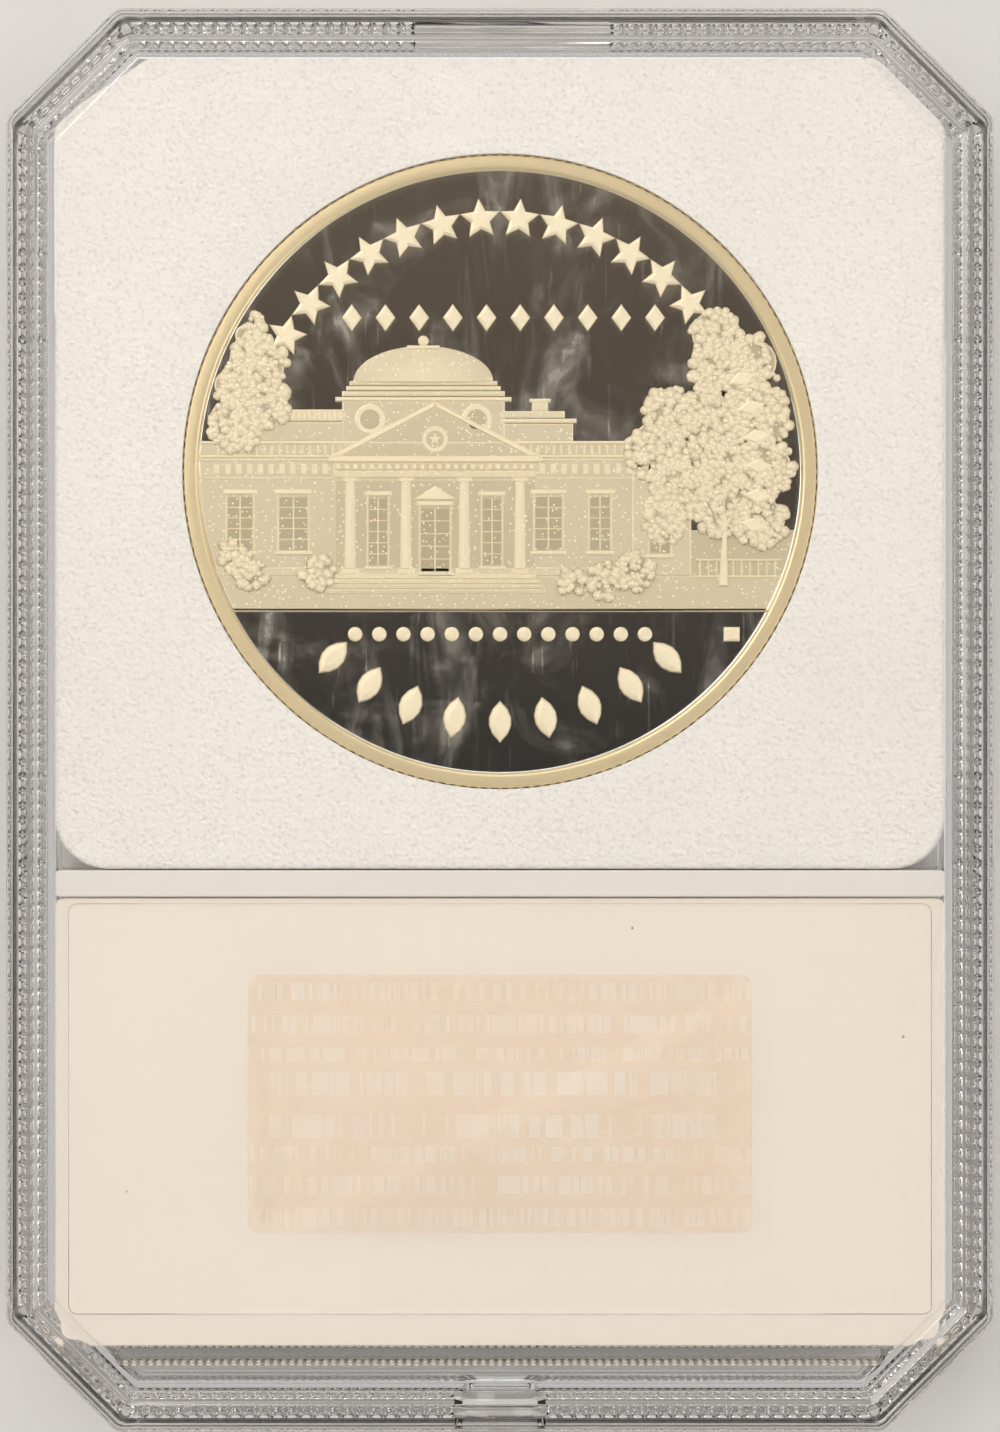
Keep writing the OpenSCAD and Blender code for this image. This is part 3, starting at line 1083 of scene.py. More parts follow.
def ringTree():
    def build(tree, start, index):
        share = addMath(tree, "MULTIPLY", index, start.outputs["Step Angle"])
        angle = addMath(tree, "ADD", share, start.outputs["First Angle"])
        across = addMath(tree, "COSINE", angle)
        up = addMath(tree, "SINE", angle)
        unit = addNode(tree, "ShaderNodeCombineXYZ", {0: across, 1: up})
        place = addNode(tree, "ShaderNodeVectorMath", {0: unit.outputs[0], 3: start.outputs["Radius"]},
                        operation="SCALE")
        # the shape's +Y points out from the middle, and then leans
        outward = addMath(tree, "SUBTRACT", angle, math.pi / 2)
        lean = addMath(tree, "ADD", outward, start.outputs["Lean"])
        turn = addNode(tree, "ShaderNodeCombineXYZ", {2: lean})
        return place.outputs[0], turn.outputs[0]
    return pointsTree("ring", [("Radius", "NodeSocketFloat"), ("First Angle", "NodeSocketFloat"),
                               ("Step Angle", "NodeSocketFloat"), ("Lean", "NodeSocketFloat")], build)


def rowTree():
    def build(tree, start, index):
        along = addNode(tree, "ShaderNodeVectorMath", {0: start.outputs["Step"], 3: index}, operation="SCALE")
        place = addNode(tree, "ShaderNodeVectorMath", {0: along.outputs[0], 1: start.outputs["Start"]},
                        operation="ADD")
        return place.outputs[0], None
    return pointsTree("row", [("Start", "NodeSocketVector"), ("Step", "NodeSocketVector")], build)


def foliageTree():
    # leaf clumps scattered over flat crowns, none past the reach of the field
    tree = newTree("foliage", [("Density", "NodeSocketFloat"), ("Shape", "NodeSocketObject"),
                               ("Seed", "NodeSocketInt"),
                               ("Small", "NodeSocketFloat"), ("Large", "NodeSocketFloat"),
                               ("Reach", "NodeSocketFloat"), ("Material", "NodeSocketMaterial")])
    start = addNode(tree, "NodeGroupInput")
    seed = start.outputs["Seed"]
    points = addNode(tree, "GeometryNodeDistributePointsOnFaces",
                     {"Mesh": start.outputs["Geometry"], "Seed": seed, "Density": start.outputs["Density"]})
    shape = addNode(tree, "GeometryNodeObjectInfo", {"Object": start.outputs["Shape"]})
    size = addNode(tree, "FunctionNodeRandomValue",
                   {2: start.outputs["Small"], 3: start.outputs["Large"], 8: seed},
                   data_type="FLOAT")
    spin = addNode(tree, "FunctionNodeRandomValue", {0: (-0.15, -0.15, 0), 1: (0.15, 0.15, 6.28), 8: seed},
                   data_type="FLOAT_VECTOR")
    turn = addNode(tree, "FunctionNodeEulerToRotation", {0: spin.outputs[0]})
    place = addNode(tree, "GeometryNodeInputPosition")
    flat = addNode(tree, "ShaderNodeVectorMath", {0: place.outputs[0], 1: (1, 1, 0)}, operation="MULTIPLY")
    reach = addNode(tree, "ShaderNodeVectorMath", {0: flat.outputs[0]}, operation="LENGTH")
    near = addNode(tree, "FunctionNodeCompare", {0: reach.outputs["Value"], 1: start.outputs["Reach"]},
                   operation="LESS_THAN")
    scale = addNode(tree, "ShaderNodeCombineXYZ", {0: size.outputs[1], 1: size.outputs[1], 2: 1.0})
    copies = addNode(tree, "GeometryNodeInstanceOnPoints",
                     {"Points": points.outputs[0], "Selection": near.outputs[0],
                      "Instance": shape.outputs["Geometry"], "Rotation": turn.outputs[0], "Scale": scale.outputs[0]})
    finishTree(tree, start, copies.outputs[0])
    return tree


trees = {"ring": ringTree(), "row": rowTree(), "foliage": foliageTree()}


def copyShape(kind, shape, count, material, name="copies", **values):
    # runs a row or a ring of copies; the lengths are in mm
    host = makePiece(name, [], [])
    lengths = {"Radius", "Start", "Step"}
    inputs = {"Count": count, "Shape": shape, "Material": material}
    for key, value in values.items():
        label = key[0].upper() + key[1:].replace("Angle", " Angle")
        if label in lengths:
            value = tuple(v * mm for v in value) if isinstance(value, tuple) else value * mm
        inputs[label] = value
    return runTree(host, trees[kind], inputs)


def insetOutline(outline, amount):
    # moves every side of a closed outline inwards by the same amount
    count = len(outline)
    moved = []
    for i in range(count):
        before, here, after = (Vector(outline[(i + k) % count]) for k in (-1, 0, 1))
        first, second = (here - before).normalized(), (after - here).normalized()
        inward = Vector((-first.y - second.y, first.x + second.x))
        moved.append(tuple(here + inward * (amount / max(0.35, 1 + first.dot(second)))))
    return moved


# raised work on a coin's field, in mm from the coin's middle; each point carries a painted light level, 0 for
# painted shade where the relief meets the field and 1 for painted highlights on its shoulders, each top at its own
# painted light level
class Relief:
    def __init__(self):
        self.corners = []
        self.faces = []
        self.paintedLights = []

    def addLoop(self, outline, height, tone):
        start = len(self.corners)
        self.corners += [(x, y, height) for x, y in outline]
        self.paintedLights += [tone] * len(outline)
        return list(range(start, len(self.corners)))

    def wall(self, first, second):
        count = len(first)
        for i in range(count):
            k = (i + 1) % count
            self.faces.append([first[i], first[k], second[k], second[i]])

    def block(self, outline, high, tone=0.6, slope=0.09, low=0.0):
        slope *= coinShape["slopeScale"]
        # painted light: the foot is painted in shade, the shoulder as a highlight edge, the top at the given light
        # level
        base = self.addLoop(outline, low - coinShape["sink"], 0.0)
        shoulder = self.addLoop(insetOutline(outline, 0.3 * slope), low + 0.65 * (high - low), 1.0)
        top = self.addLoop(insetOutline(outline, slope), high, tone)
        self.wall(base, shoulder)
        self.wall(shoulder, top)
        self.faces.append(top)
        self.faces.append(base[::-1])

    def bar(self, x0, x1, y0, y1, high, tone=0.6, slope=0.07):
        self.block([(x0, y0), (x1, y0), (x1, y1), (x0, y1)], high, tone, slope)

    def peak(self, outline, high, tone):
        # a faceted shape that rises to one point in the middle, painted shade at its foot and painted light towards
        # its point
        base = self.addLoop(outline, -coinShape["sink"], 0.2)
        rim = self.addLoop(insetOutline(outline, 0.07), 0.6 * high, 0.8 * tone)
        self.wall(base, rim)
        tip = self.addLoop([(0, 0)], high, tone)[0]
        for i, here in enumerate(rim):
            self.faces.append([here, rim[(i + 1) % len(rim)], tip])
        self.faces.append(base[::-1])

    def column(self, x, y0, y1, radius, low, high, tone=0.9):
        # half-round shaft with a narrower top, painted light along its crest and painted shade down its sides
        loops = []
        for y, share in ((y0, 1.0), (y1, 0.82)):
            turns = [math.pi * i / 6 for i in range(7)]
            arc = [(x - radius * share * math.cos(t), low + (high - low) * share * math.sin(t))
                   for t in turns]
            start = len(self.corners)
            self.corners += [(px, y, z) for px, z in arc]
            self.paintedLights += [tone * (0.35 + 0.65 * math.sin(t)) for t in turns]
            loops.append(list(range(start, len(self.corners))))
        self.wall(*loops)
        self.faces += [loops[0], loops[1][::-1]]

    def dome(self, x, y, half, tall, low, high, steps=20, rings=7, tone=0.85):
        loops = []
        for ring in range(rings):
            share = math.cos(math.pi / 2 * ring / rings)
            height = low + (high - low) * math.sin(math.pi / 2 * ring / rings)
            arc = [math.pi * i / steps for i in range(steps + 1)]
            outline = [(x + half * share * math.cos(t), y + tall * share * math.sin(t)) for t in arc]
            # painted shading: lighter from the dome's foot up to its crown
            loops.append(self.addLoop(outline, height, tone * (0.55 + 0.45 * ring / rings)))
        for first, second in zip(loops, loops[1:]):
            self.wall(first, second)
        self.faces.append(loops[-1])

    def build(self, name):
        piece = makePiece(name, self.corners, self.faces)
        tone = piece.data.attributes.new("tone", "FLOAT", "POINT")
        tone.data.foreach_set("value", self.paintedLights)
        return outwards(piece)


def disc(x, y, radius, steps=24):
    turns = (2 * math.pi * i / steps for i in range(steps))
    return [(x + radius * math.cos(t), y + radius * math.sin(t)) for t in turns]


endBead = {
    "radius": 0.17,
    "endShare": 0.6,
    "fromSplit": 0.3,
    "fromRoof": 0.25,
    "fromEnd": 0.5,
    "pitch": 0.5,
    "out": 0.08,
}


def makeEndBeads():
    # a fine knurl along the outer side of the end rib, in opaque cream that paints the light refracted from the
    # label
    b = endBead
    low, high = splitHeight + b["fromSplit"], roof - b["fromRoof"]
    skin = Skin()
    loops = [skin.loop(disc(0, 0, b["radius"] * share, 8), z)
             for share, z in ((b["endShare"], low), (1.0, low + 0.12), (1.0, high - 0.12),
                              (b["endShare"], high))]
    skin.walls(loops)
    skin.addFace(list(loops[0]), False)
    skin.addFace(list(loops[-1]), False)
    bead = outwards(makePiece("bead", skin.corners, skin.faces))
    half = endRibSide() - b["fromEnd"]
    count = round(2 * half / b["pitch"]) + 1
    row = copyShape("row", bead, count, weldHaze, "endBeads", start=(-half, endRibLow - b["out"], 0.0),
                    step=(2 * half / (count - 1), 0.0, 0.0))
    bpy.data.objects.remove(bead)
    return row


finishPiece(makeEndBeads(), "back_half", "clear_plastic", weldHaze)


def starOutline(outer, inner, tips=5):
    turns = [math.pi / 2 + math.pi * i / tips for i in range(2 * tips)]
    return [((outer, inner)[i % 2] * math.cos(t), (outer, inner)[i % 2] * math.sin(t))
            for i, t in enumerate(turns)]


def leafOutline(wide, tall, steps=5):
    # a pointed leaf, tip up and foot down
    side = [(wide * math.sin(math.pi * i / steps) ** 0.8, -tall + 2 * tall * i / steps) for i in range(steps)]
    return side + [(-x, -y) for x, y in side]


def bandToRim(y0, y1, left=None, right=None, steps=8):
    # a level band that runs out to the rim where no end is given
    heights = [y0 + (y1 - y0) * i / steps for i in range(steps + 1)]
    rim = [(math.sqrt(coinShape["fieldReach"] ** 2 - y * y), y) for y in heights]
    rightEnd = [(right, y0), (right, y1)] if right is not None else rim
    leftEnd = [(left, y1), (left, y0)] if left is not None else [(-x, y) for x, y in rim[::-1]]
    return rightEnd + leftEnd


# a made-up domed hall between trees, for the back of the coin
hall = {
    "ground": (-8.25, -6.2),
    "wall": (-6.3, 1.75),
    "wallEnd": 11.3,
    "wallHigh": 0.075,
    "porticoMiddle": -3.9,
    "porticoHalf": 6.1,
    "columns": (-5.1, -1.75, 1.75, 5.1),
    "columnRadius": 0.4,
    "columnTop": -0.45,
    "pedimentTop": 4.25,
    "domeMiddle": -4.6,
    "windows": ((-15.6, 0.75), (-12.4, 0.85), (2.9, 0.8), (6.0, 0.6)),
    "crownsLeft": ((-15.3, 8.2, 1.5), (-14.6, 6.5, 1.8), (-16.2, 5.2, 1.5), (-14.2, 4.1, 1.6),
                   (-15.9, 2.9, 1.7)),
    "crownsRight": ((10.2, 3.5, 1.6), (9.4, 1.3, 1.8), (10.9, -0.9, 1.9), (9.9, -3.0, 1.3), (12.9, 8.3, 1.5),
                    (13.4, 6.0, 2.0), (15.3, 6.6, 1.7), (12.9, 3.2, 2.0), (15.6, 3.4, 1.9), (13.0, 0.4, 2.0),
                    (15.8, 0.2, 1.8), (13.2, -2.2, 1.7), (15.6, -3.0, 1.6)),
    "bushes": ((-16.0, -5.2, 1.0), (-14.9, -6.2, 0.9), (-10.9, -6.1, 1.0), (4.3, -6.6, 0.8), (6.3, -6.5, 1.1),
               (8.1, -6.0, 1.2)),
    "limbs": (((13.4, -6.9), (13.5, -2.6), 0.3), ((13.5, -3.6), (11.7, -0.6), 0.16),
              ((13.5, -3.4), (15.2, -0.2), 0.16), ((13.45, -2.9), (13.2, 1.2), 0.15),
              ((12.4, -1.8), (10.6, 0.4), 0.11), ((-15.9, 1.9), (-15.7, 4.6), 0.22)),
    "clumpSmall": 0.4,
    "clumpLarge": 1.0,
    "clumpsPerMm": 12.0,
}


# arcs of plain shapes: their number, radius, and first and last angle
legend = {
    "topStars": (13, 15.2, 147.5, 41.5),
    "footLeaves": (9, 15.0, 228, 312),
    "treeLozenges": (6, 15.5, 21, -12),
}


def addWindow(relief, x, y0, y1, half, wall, panes=5):
    # a pane painted dark as shade, behind glazing bars, in a raised frame with a hood
    edge = 0.16
    relief.bar(x - half, x + half, y0, y1, wall + 0.01, 0.1, 0.02)
    for side in (-1, 1):
        middle = x + side * (half + edge / 2)
        relief.bar(middle - edge / 2, middle + edge / 2, y0 - edge, y1 + edge, wall + 0.06, 0.95, 0.05)
    relief.bar(x - half - 0.3, x + half + 0.3, y1 + edge * 0.6, y1 + 0.45, wall + 0.08, 0.95, 0.08)
    relief.bar(x - half - 0.3, x + half + 0.3, y0 - 0.34, y0 - 0.04, wall + 0.07, 0.9, 0.08)
    relief.bar(x - 0.07, x + 0.07, y0, y1, wall + 0.04, 0.9, 0.03)
    for pane in range(1, panes):
        y = y0 + (y1 - y0) * pane / panes
        relief.bar(x - half, x + half, y - 0.06, y + 0.06, wall + 0.035, 0.85, 0.03)


def addHall(relief):
    h = hall
    wall = h["wallHigh"]
    relief.block(bandToRim(*h["ground"]), 0.05, 0.5, 0.1)
    relief.block(bandToRim(-8.42, -8.26), 0.12, 0.95, 0.05)
    relief.block(bandToRim(*h["wall"], right=h["wallEnd"]), wall, 0.5, 0.08)
    relief.block(bandToRim(-6.3, -5.7, right=h["wallEnd"] + 0.1), wall + 0.03, 0.6, 0.08)
    for y0, y1, rise, tone in ((-0.5, -0.3, 0.03, 0.7), (0.62, 0.8, 0.04, 0.8), (0.8, 1.02, 0.07, 0.95),
                               (1.62, 1.86, 0.07, 0.95)):
        relief.block(bandToRim(y0, y1, right=h["wallEnd"] + 0.12), wall + rise, tone, 0.07)
    for x, half in h["windows"]:
        addWindow(relief, x, -4.7, -1.5, half, wall)
    # end bay with an arched window; the round opening is painted dark as shade
    relief.bar(7.9, h["wallEnd"] + 0.2, -6.3, 0.7, wall + 0.035, 0.55, 0.1)
    relief.block(disc(9.6, -2.2, 0.95), wall + 0.07, 0.9, 0.08)
    relief.block(disc(9.6, -2.2, 0.62), wall + 0.085, 0.2, 0.04)
    addWindow(relief, 9.6, -4.9, -2.1, 0.6, wall + 0.035, 4)
    # attics on both sides of the drum, and a chimney
    relief.bar(-14.6, -9.2, 1.8, 3.0, 0.07, 0.5)
    relief.bar(-13.6, -9.2, 3.0, 3.75, 0.09, 0.7)
    relief.bar(0.2, 4.4, 1.8, 2.9, 0.08, 0.5)
    relief.bar(0.0, 4.6, 2.9, 3.2, 0.12, 0.9)
    relief.bar(0.0, 3.9, 3.2, 3.65, 0.09, 0.7)
    relief.bar(1.9, 2.9, 3.6, 4.3, 0.12, 0.8)
    relief.bar(1.75, 3.05, 4.15, 4.4, 0.14, 0.95)
    addDome(relief)
    addPortico(relief)


def addDome(relief):
    x = hall["domeMiddle"]
    relief.bar(x - 4.9, x + 4.9, 1.7, 4.3, 0.085, 0.5, 0.1)
    # round windows beside the drum, their middles painted dark as shade
    for side in (-3.2, 3.2):
        relief.block(disc(x + side, 3.15, 0.95, 20), 0.13, 0.9, 0.09)
        relief.block(disc(x + side, 3.15, 0.66, 20), 0.14, 0.25, 0.05)
    for half, y0, y1, high, tone in ((5.3, 4.2, 4.5, 0.15, 0.95), (4.9, 4.5, 4.85, 0.12, 0.7),
                                     (4.65, 4.85, 5.15, 0.14, 0.9),
                                     (4.45, 5.15, 5.45, 0.12, 0.75)):
        relief.bar(x - half, x + half, y0, y1, high, tone, 0.08)
    relief.dome(x, 5.4, 4.2, 2.15, 0.08, 0.2)
    # ribs fan out from the crown
    for rib in range(-3, 4):
        foot, head = x + rib * 1.32, x + rib * 0.3
        lean = 0.35 * abs(rib)
        relief.block([(foot - 0.07, 5.42), (foot + 0.07, 5.42), (head + 0.05, 7.35 - 0.3 * lean),
                      (head - 0.05, 7.35 - 0.3 * lean)], 0.205 - 0.012 * abs(rib), 0.95, 0.03)
    relief.bar(x - 1.0, x + 1.0, 7.3, 7.6, 0.2, 0.95, 0.08)
    relief.block(disc(x, 7.85, 0.34, 12), 0.17, 0.9, 0.08)


def addPortico(relief):
    h = hall
    x, half = h["porticoMiddle"], h["porticoHalf"]
    for step in range(4):
        grow = 0.55 - 0.18 * step
        y = -7.35 + 0.3 * step
        relief.bar(x - half - grow, x + half + grow, y, y + 0.34, 0.09 + 0.025 * step, 0.6 + 0.08 * step,
                   0.06)
    # the back wall behind the columns is painted darker as shade
    relief.bar(x - half, x + half, -6.2, -0.4, 0.095, 0.35, 0.1)
    addWindow(relief, x - 3.42, -5.6, -1.6, 0.55, 0.095, 6)
    addWindow(relief, x + 3.42, -5.6, -1.6, 0.55, 0.095, 6)
    addWindow(relief, x, -6.0, -2.2, 0.85, 0.095, 5)
    relief.block([(x - 1.4, -1.7), (x + 1.4, -1.7), (x, -0.8)], 0.17, 0.95, 0.12)
    for offset in h["columns"]:
        relief.column(x + offset, -5.8, h["columnTop"], h["columnRadius"], 0.06, 0.2)
        relief.bar(x + offset - 0.55, x + offset + 0.55, -6.2, -5.75, 0.17, 0.9, 0.07)
        relief.bar(x + offset - 0.5, x + offset + 0.5, h["columnTop"] - 0.2, h["columnTop"] + 0.1, 0.19,
                   0.95, 0.07)
    for grow, y0, y1, high, tone in ((0.0, -0.4, 0.05, 0.17, 0.75), (-0.05, 0.05, 0.55, 0.15, 0.5),
                                     (0.35, 0.55, 0.95, 0.2, 0.95)):
        relief.bar(x - half - grow, x + half + grow, y0, y1, high, tone, 0.07)
    # pediment: a plain field with a round boss between raking cornices; the field and the boss's middle are painted
    # darker as shade, the cornices light as painted highlight
    base, top = 0.9, h["pedimentTop"]
    wide = half + 0.35
    relief.block([(x - wide, base), (x + wide, base), (x, top)], 0.14, 0.42, 0.1)
    for side in (-1, 1):
        rake = [(x + side * wide, base), (x, top), (x, top - 0.42), (x + side * (wide - 0.85), base)]
        relief.block(rake if side > 0 else rake[::-1], 0.2, 0.95, 0.08)
    relief.block(disc(x, 1.95, 0.86), 0.17, 0.9, 0.08)
    relief.block(disc(x, 1.95, 0.6), 0.18, 0.4, 0.06)
    relief.block([(x + a, 1.95 + b) for a, b in starOutline(0.5, 0.2)], 0.2, 0.95, 0.04)


def shapeOf(name, outline, high, tone, slope, low=0.0):
    relief = Relief()
    relief.block(outline, high, tone, slope, low)
    return relief.build(name)


def barShape(wide, tall, high, tone):
    outline = [(-wide, -tall), (wide, -tall), (wide, tall), (-wide, tall)]
    return shapeOf("bar", outline, high, tone, 0.05)


def lozengeShape(name, wide, tall, high, slope, low=0.0):
    return shapeOf(name, [(0, -tall), (wide, 0), (0, tall), (-wide, 0)], high, 1.0 if low else 0.95, slope,
                   low)


def ringOf(shape, count, radius, first, last, lean=0.0, name="ringCopies"):
    # copies spread from the first angle to the last, in degrees
    span = count if abs(last - first) == 360 else count - 1
    return copyShape("ring", shape, count, proofFrost, name, radius=radius, firstAngle=math.radians(first),
                     stepAngle=math.radians((last - first) / span), lean=lean)


def rowOf(shape, count, x0, x1, y, name="rowCopies"):
    return copyShape("row", shape, count, proofFrost, name, start=(x0, y, 0.0),
                     step=((x1 - x0) / (count - 1), 0.0, 0.0))


def clumpShape():
    work = bmesh.new()
    bmesh.ops.create_icosphere(work, subdivisions=1, radius=0.42 * mm)
    mesh = bpy.data.meshes.new("clump")
    for corner in work.verts:
        corner.co.z *= 0.24
    work.to_mesh(mesh)
    work.free()
    # painted light: each clump is painted lighter on top and dark underneath
    tone = mesh.attributes.new("tone", "FLOAT", "POINT")
    tone.data.foreach_set("value", [min(1, max(0, v.co.z / (0.09 * mm))) for v in mesh.vertices])
    piece = bpy.data.objects.new("clump", mesh)
    bpy.context.scene.collection.objects.link(piece)
    return piece


def scatterCrowns(crowns, height, clump, seed):
    corners, faces = [], []
    for x, y, radius in crowns:
        start = len(corners)
        corners += [(px, py, height) for px, py in disc(x, y, radius, 20)]
        faces.append(list(range(start, len(corners))))
    host = makePiece("crowns", corners, faces)
    return runTree(host, trees["foliage"], {"Density": hall["clumpsPerMm"] / mm ** 2, "Shape": clump,
                                            "Seed": seed,
                                            "Small": hall["clumpSmall"], "Large": hall["clumpLarge"],
                                            "Reach": (coinShape["fieldReach"] - 0.45) * mm,
                                            "Material": proofFrost})


def crownPlates(relief, crowns, high):
    # plates under the leaf clumps, painted dark as shade between the leaves
    for x, y, radius in crowns:
        room = coinShape["fieldReach"] - math.hypot(x, y) - 0.05
        relief.block(disc(x, y, min(0.95 * radius, room), 18), high, 0.2, 0.12)


def limb(relief, start, end, wide, high):
    # a trunk or branch that narrows towards its end
    a, b = Vector(start), Vector(end)
    side = (b - a).normalized()
    side = Vector((side.y, -side.x)) * wide
    relief.block([tuple(a - side), tuple(b - side * 0.45), tuple(b + side * 0.45), tuple(a + side)][::-1],
                 high, 0.95, 0.08)


def makeReverse():
    work = Relief()
    addHall(work)
    crowns = hall["crownsLeft"] + hall["crownsRight"]
    crownPlates(work, crowns, 0.1)
    crownPlates(work, hall["bushes"], 0.12)
    for start, end, wide in hall["limbs"]:
        limb(work, start, end, wide, 0.2)
    work.block(bandToRim(-6.3, -3.5, left=11.0), 0.03, 0.35, 0.05)
    for y in (-6.3, -5.3):
        work.bar(11.7, 16.6 if y < -6 else 16.9, y - 0.09, y + 0.09, 0.12, 0.9, 0.05)
    work.bar(13.4, 14.4, -10.2, -9.3, 0.14, 0.95, 0.14)
    pieces = [work.build("hallRelief")]
    clump = clumpShape()
    pieces.append(scatterCrowns(crowns, 0.115, clump, 4))
    pieces.append(scatterCrowns(hall["bushes"], 0.14, clump, 9))
    rowShapes = {
        "balusters": (barShape(0.09, 0.3, hall["wallHigh"] + 0.05, 0.9), 62, -16.9, 11.0, 1.32),
        "frieze": (barShape(0.2, 0.34, hall["wallHigh"] + 0.035, 0.85), 44, -17.0, 11.0, 0.16),
        "dentils": (barShape(0.17, 0.19, 0.18, 0.95), 24, -9.7, 1.9, 0.3),
        "leftLattice": (barShape(0.1, 0.3, 0.12, 0.95), 13, -13.3, -9.6, 3.35),
        "pickets": (barShape(0.07, 0.5, 0.11, 0.9), 10, 12.0, 16.5, -5.8),
        "line": (lozengeShape("lozenge", 0.62, 0.85, 0.16, 0.16), 10, -8.9, 9.3, 9.25),
        "footDots": (shapeOf("dot", disc(0, 0, 0.46, 14), 0.14, 0.95, 0.14), 13, -8.7, 8.7, -9.75),
    }
    for name, (shape, count, x0, x1, y) in rowShapes.items():
        pieces.append(rowOf(shape, count, x0, x1, y, name))
        bpy.data.objects.remove(shape)
    star = shapeOf("star", starOutline(1.3, 0.62), 0.2, 1.0, 0.16)
    leaf = shapeOf("leaf", leafOutline(0.72, 1.3), 0.18, 1.0, 0.3)
    small = lozengeShape("smallLozenge", 0.5, 1.0, 0.245, 0.12, low=0.12)
    pieces.append(ringOf(star, *legend["topStars"], name="topStars"))
    pieces.append(ringOf(leaf, *legend["footLeaves"], name="footLeaves"))
    pieces.append(ringOf(small, *legend["treeLozenges"], name="treeLozenges"))
    for shape in (clump, star, leaf, small):
        bpy.data.objects.remove(shape)
    return pieces


# a made-up wreath and star for the front of the coin
wreath = {
    "leavesEach": 17,
    "leafArc": (14, 172),
    "radius": 12.6,
    "spread": 1.2,
    "lean": 0.5,
    "berries": 36,
    "dots": 72,
    "dotRadius": 17.1,
    "star": (7.2, 3.0),
}


def makeObverse():
    w = wreath
    work = Relief()
    work.peak(starOutline(*w["star"]), 0.21, 0.95)
    leaf = shapeOf("leaf", leafOutline(0.8, 1.9), 0.17, 1.0, 0.35)
    dot = shapeOf("dot", disc(0, 0, 0.3, 12), 0.15, 1.0, 0.12)
    berry = shapeOf("berry", disc(0, 0, 0.36, 12), 0.19, 1.0, 0.16)
    pieces = [work.build("wreathRelief")]
    for side in (-1, 1):
        first, last = (-90 + side * angle for angle in w["leafArc"])
        for out, lean in ((w["spread"], w["lean"]), (-w["spread"], math.pi - w["lean"])):
            pieces.append(ringOf(leaf, w["leavesEach"], w["radius"] + out, first, last, -side * lean * 1.6))
    pieces.append(ringOf(berry, w["berries"], w["radius"], 0, 360))
    pieces.append(ringOf(dot, w["dots"], w["dotRadius"], 0, 360))
    for shape in (leaf, dot, berry):
        bpy.data.objects.remove(shape)
    return pieces


def placeCoin(name, pieces, turn, lift):
    # joins one side's relief and moves it onto its field
    for each in pieces:
        if not each.data.materials:
            each.data.materials.append(proofFrost)
    piece = joinMeshes(name, pieces)
    place = Matrix.Translation(coinMiddle) @ Matrix.Rotation(turn, 4,
                                                             "X") @ Matrix.Translation((0, 0, lift * mm))
    piece.data.transform(place)
    return piece


def makeReeds():
    s = coinShape
    wide, out, tall = s["reedWide"] / 2, s["reedOut"], coinHalf - 0.05
    corners = []
    for z, share in ((-tall, 0.55), (-tall + 0.1, 1.0), (tall - 0.1, 1.0), (tall, 0.55)):
        tip = out * share
        corners += [(-wide, -0.05, z), (wide, -0.05, z), (wide * 0.5, tip, z), (-wide * 0.5, tip, z)]
    faces = []
    for low in (0, 4, 8):
        faces += [[low + i, low + (i + 1) % 4, low + 4 + (i + 1) % 4, low + 4 + i] for i in range(4)]
    faces += [[3, 2, 1, 0], [12, 13, 14, 15]]
    reed = outwards(makePiece("reed", corners, faces))
    ring = copyShape("ring", reed, s["reeds"], rimMaterial, "reeds", radius=coinRadius - out, firstAngle=0.0,
                     stepAngle=2 * math.pi / s["reeds"], lean=0.0)
    bpy.data.objects.remove(reed)
    return ring


coinBody = placeCoin("coinBody", [makeCoinBody(), makeReeds()], 0.0, 0.0)
finishPiece(coinBody, "coin", "coin_silver", None, "coin")
reverse = placeCoin("coinReverse", makeReverse(), 0.0, fieldHeight)
finishPiece(reverse, "coin", "coin_silver", None)
obverse = placeCoin("coinObverse", makeObverse(), math.pi, fieldHeight)
finishPiece(obverse, "coin", "coin_silver", None)
print("coin ready")


studio = {
    "cameraHeight": 0.25,
    "cameraUp": 0.24,
    "frameShape": 1.432,
    "slabShare": 0.991,
    "floor": (0.80, 0.79, 0.77),
    "floorRoughness": 0.7,
    "floorHalf": 1500,
    "worldSide": (0.9, 0.88, 0.86),
    "worldTop": (0.055, 0.055, 0.056),
    "worldTopFar": (0.25, 0.195, 0.15),
    "worldStrength": 0.6,
    "exposure": 0.1,
}
# place, size, power and colour of each lamp, in metres and watts; all aim at the slab
lamps = {
    "key": ((-0.23, 0.17, 0.37), (0.32, 0.32), 0.8, (1.0, 0.965, 0.9)),
    "fill": ((0.37, -0.1, 0.41), (0.36, 0.36), 0.6, (1.0, 0.965, 0.93)),
    "back": ((0.05, 0.44, 0.4), (0.4, 0.16), 0.42, (0.98, 0.97, 1.0)),
}


def makeFloor():
    half = studio["floorHalf"]
    corners = [(-half, -half, 0), (half, -half, 0), (half, half, 0), (-half, half, 0)]
    floor = makePiece("floor", corners, [(0, 1, 2, 3)])
    material, _, shader = newMaterial("paleFloor")
    shader.inputs["Base Color"].default_value = (*studio["floor"], 1)
    shader.inputs["Roughness"].default_value = studio["floorRoughness"]
    floor.data.materials.append(material)


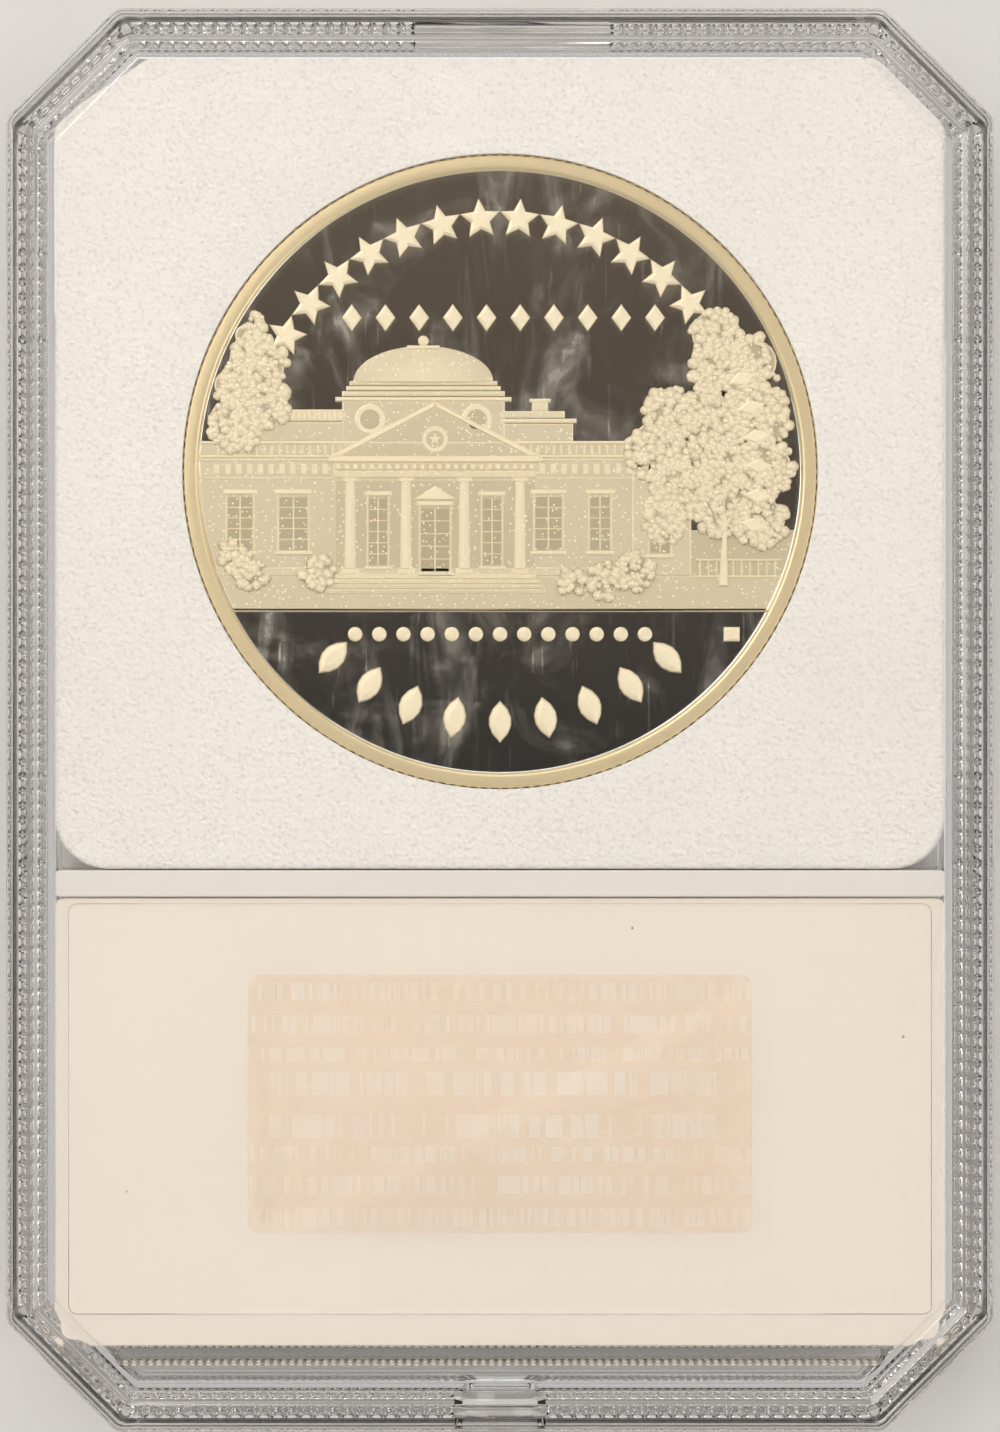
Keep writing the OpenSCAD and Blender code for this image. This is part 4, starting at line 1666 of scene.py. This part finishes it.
def makeWorld():
    # dim overhead, so that flat metal mirrors a dark ceiling, warmer beyond it, and pale round the sides
    world = bpy.data.worlds.new("studioWorld")
    bpy.context.scene.world = world
    world.use_nodes = True
    tree = world.node_tree
    back = tree.nodes["Background"]
    place = addNode(tree, "ShaderNodeTexCoord")
    split = addNode(tree, "ShaderNodeSeparateXYZ", {0: place.outputs["Generated"]})
    high = addNode(tree, "ShaderNodeMapRange",
                   {"Value": split.outputs["Z"], "From Min": 0.72, "From Max": 0.93},
                   interpolation_type="SMOOTHSTEP")
    far = addNode(tree, "ShaderNodeMapRange",
                  {"Value": split.outputs["Y"], "From Min": -0.03, "From Max": 0.16})
    ceiling = mixColour(tree, far.outputs[0], studio["worldTop"], studio["worldTopFar"])
    tree.links.new(mixColour(tree, high.outputs[0], studio["worldSide"], ceiling), back.inputs["Color"])
    back.inputs["Strength"].default_value = studio["worldStrength"]


def makeLamp(name, place, size, power, colour):
    lamp = bpy.data.lights.new(name, "AREA")
    lamp.shape = "RECTANGLE"
    lamp.size, lamp.size_y = size
    lamp.energy = power
    lamp.color = colour
    piece = bpy.data.objects.new(name, lamp)
    bpy.context.scene.collection.objects.link(piece)
    piece.location = place
    piece.rotation_euler = (-Vector(place)).to_track_quat("-Z", "Y").to_euler()


def makeCamera():
    height = studio["cameraHeight"]
    camera = bpy.data.cameras.new("camera")
    camera.sensor_width = 36.0
    # the slab fills most of the frame's width, and the frame is taller than it is wide
    viewLong = 2 * halfWide * mm / studio["slabShare"] * studio["frameShape"]
    camera.lens = camera.sensor_width * height / viewLong
    camera.clip_start = 0.01
    camera.clip_end = 10
    piece = bpy.data.objects.new("camera", camera)
    bpy.context.scene.collection.objects.link(piece)
    piece.location = (0.0, studio["cameraUp"] * mm, slabTall * mm + height)
    bpy.context.scene.camera = piece


makeFloor()
makeWorld()
for lampName, values in lamps.items():
    makeLamp(lampName, *values)
makeCamera()
bpy.context.scene.view_settings.view_transform = "Standard"
bpy.context.scene.view_settings.exposure = studio["exposure"]
bpy.context.scene.cycles.transmission_bounces = 20
bpy.context.scene.cycles.max_bounces = 24
bpy.context.scene.cycles.transparent_max_bounces = 32
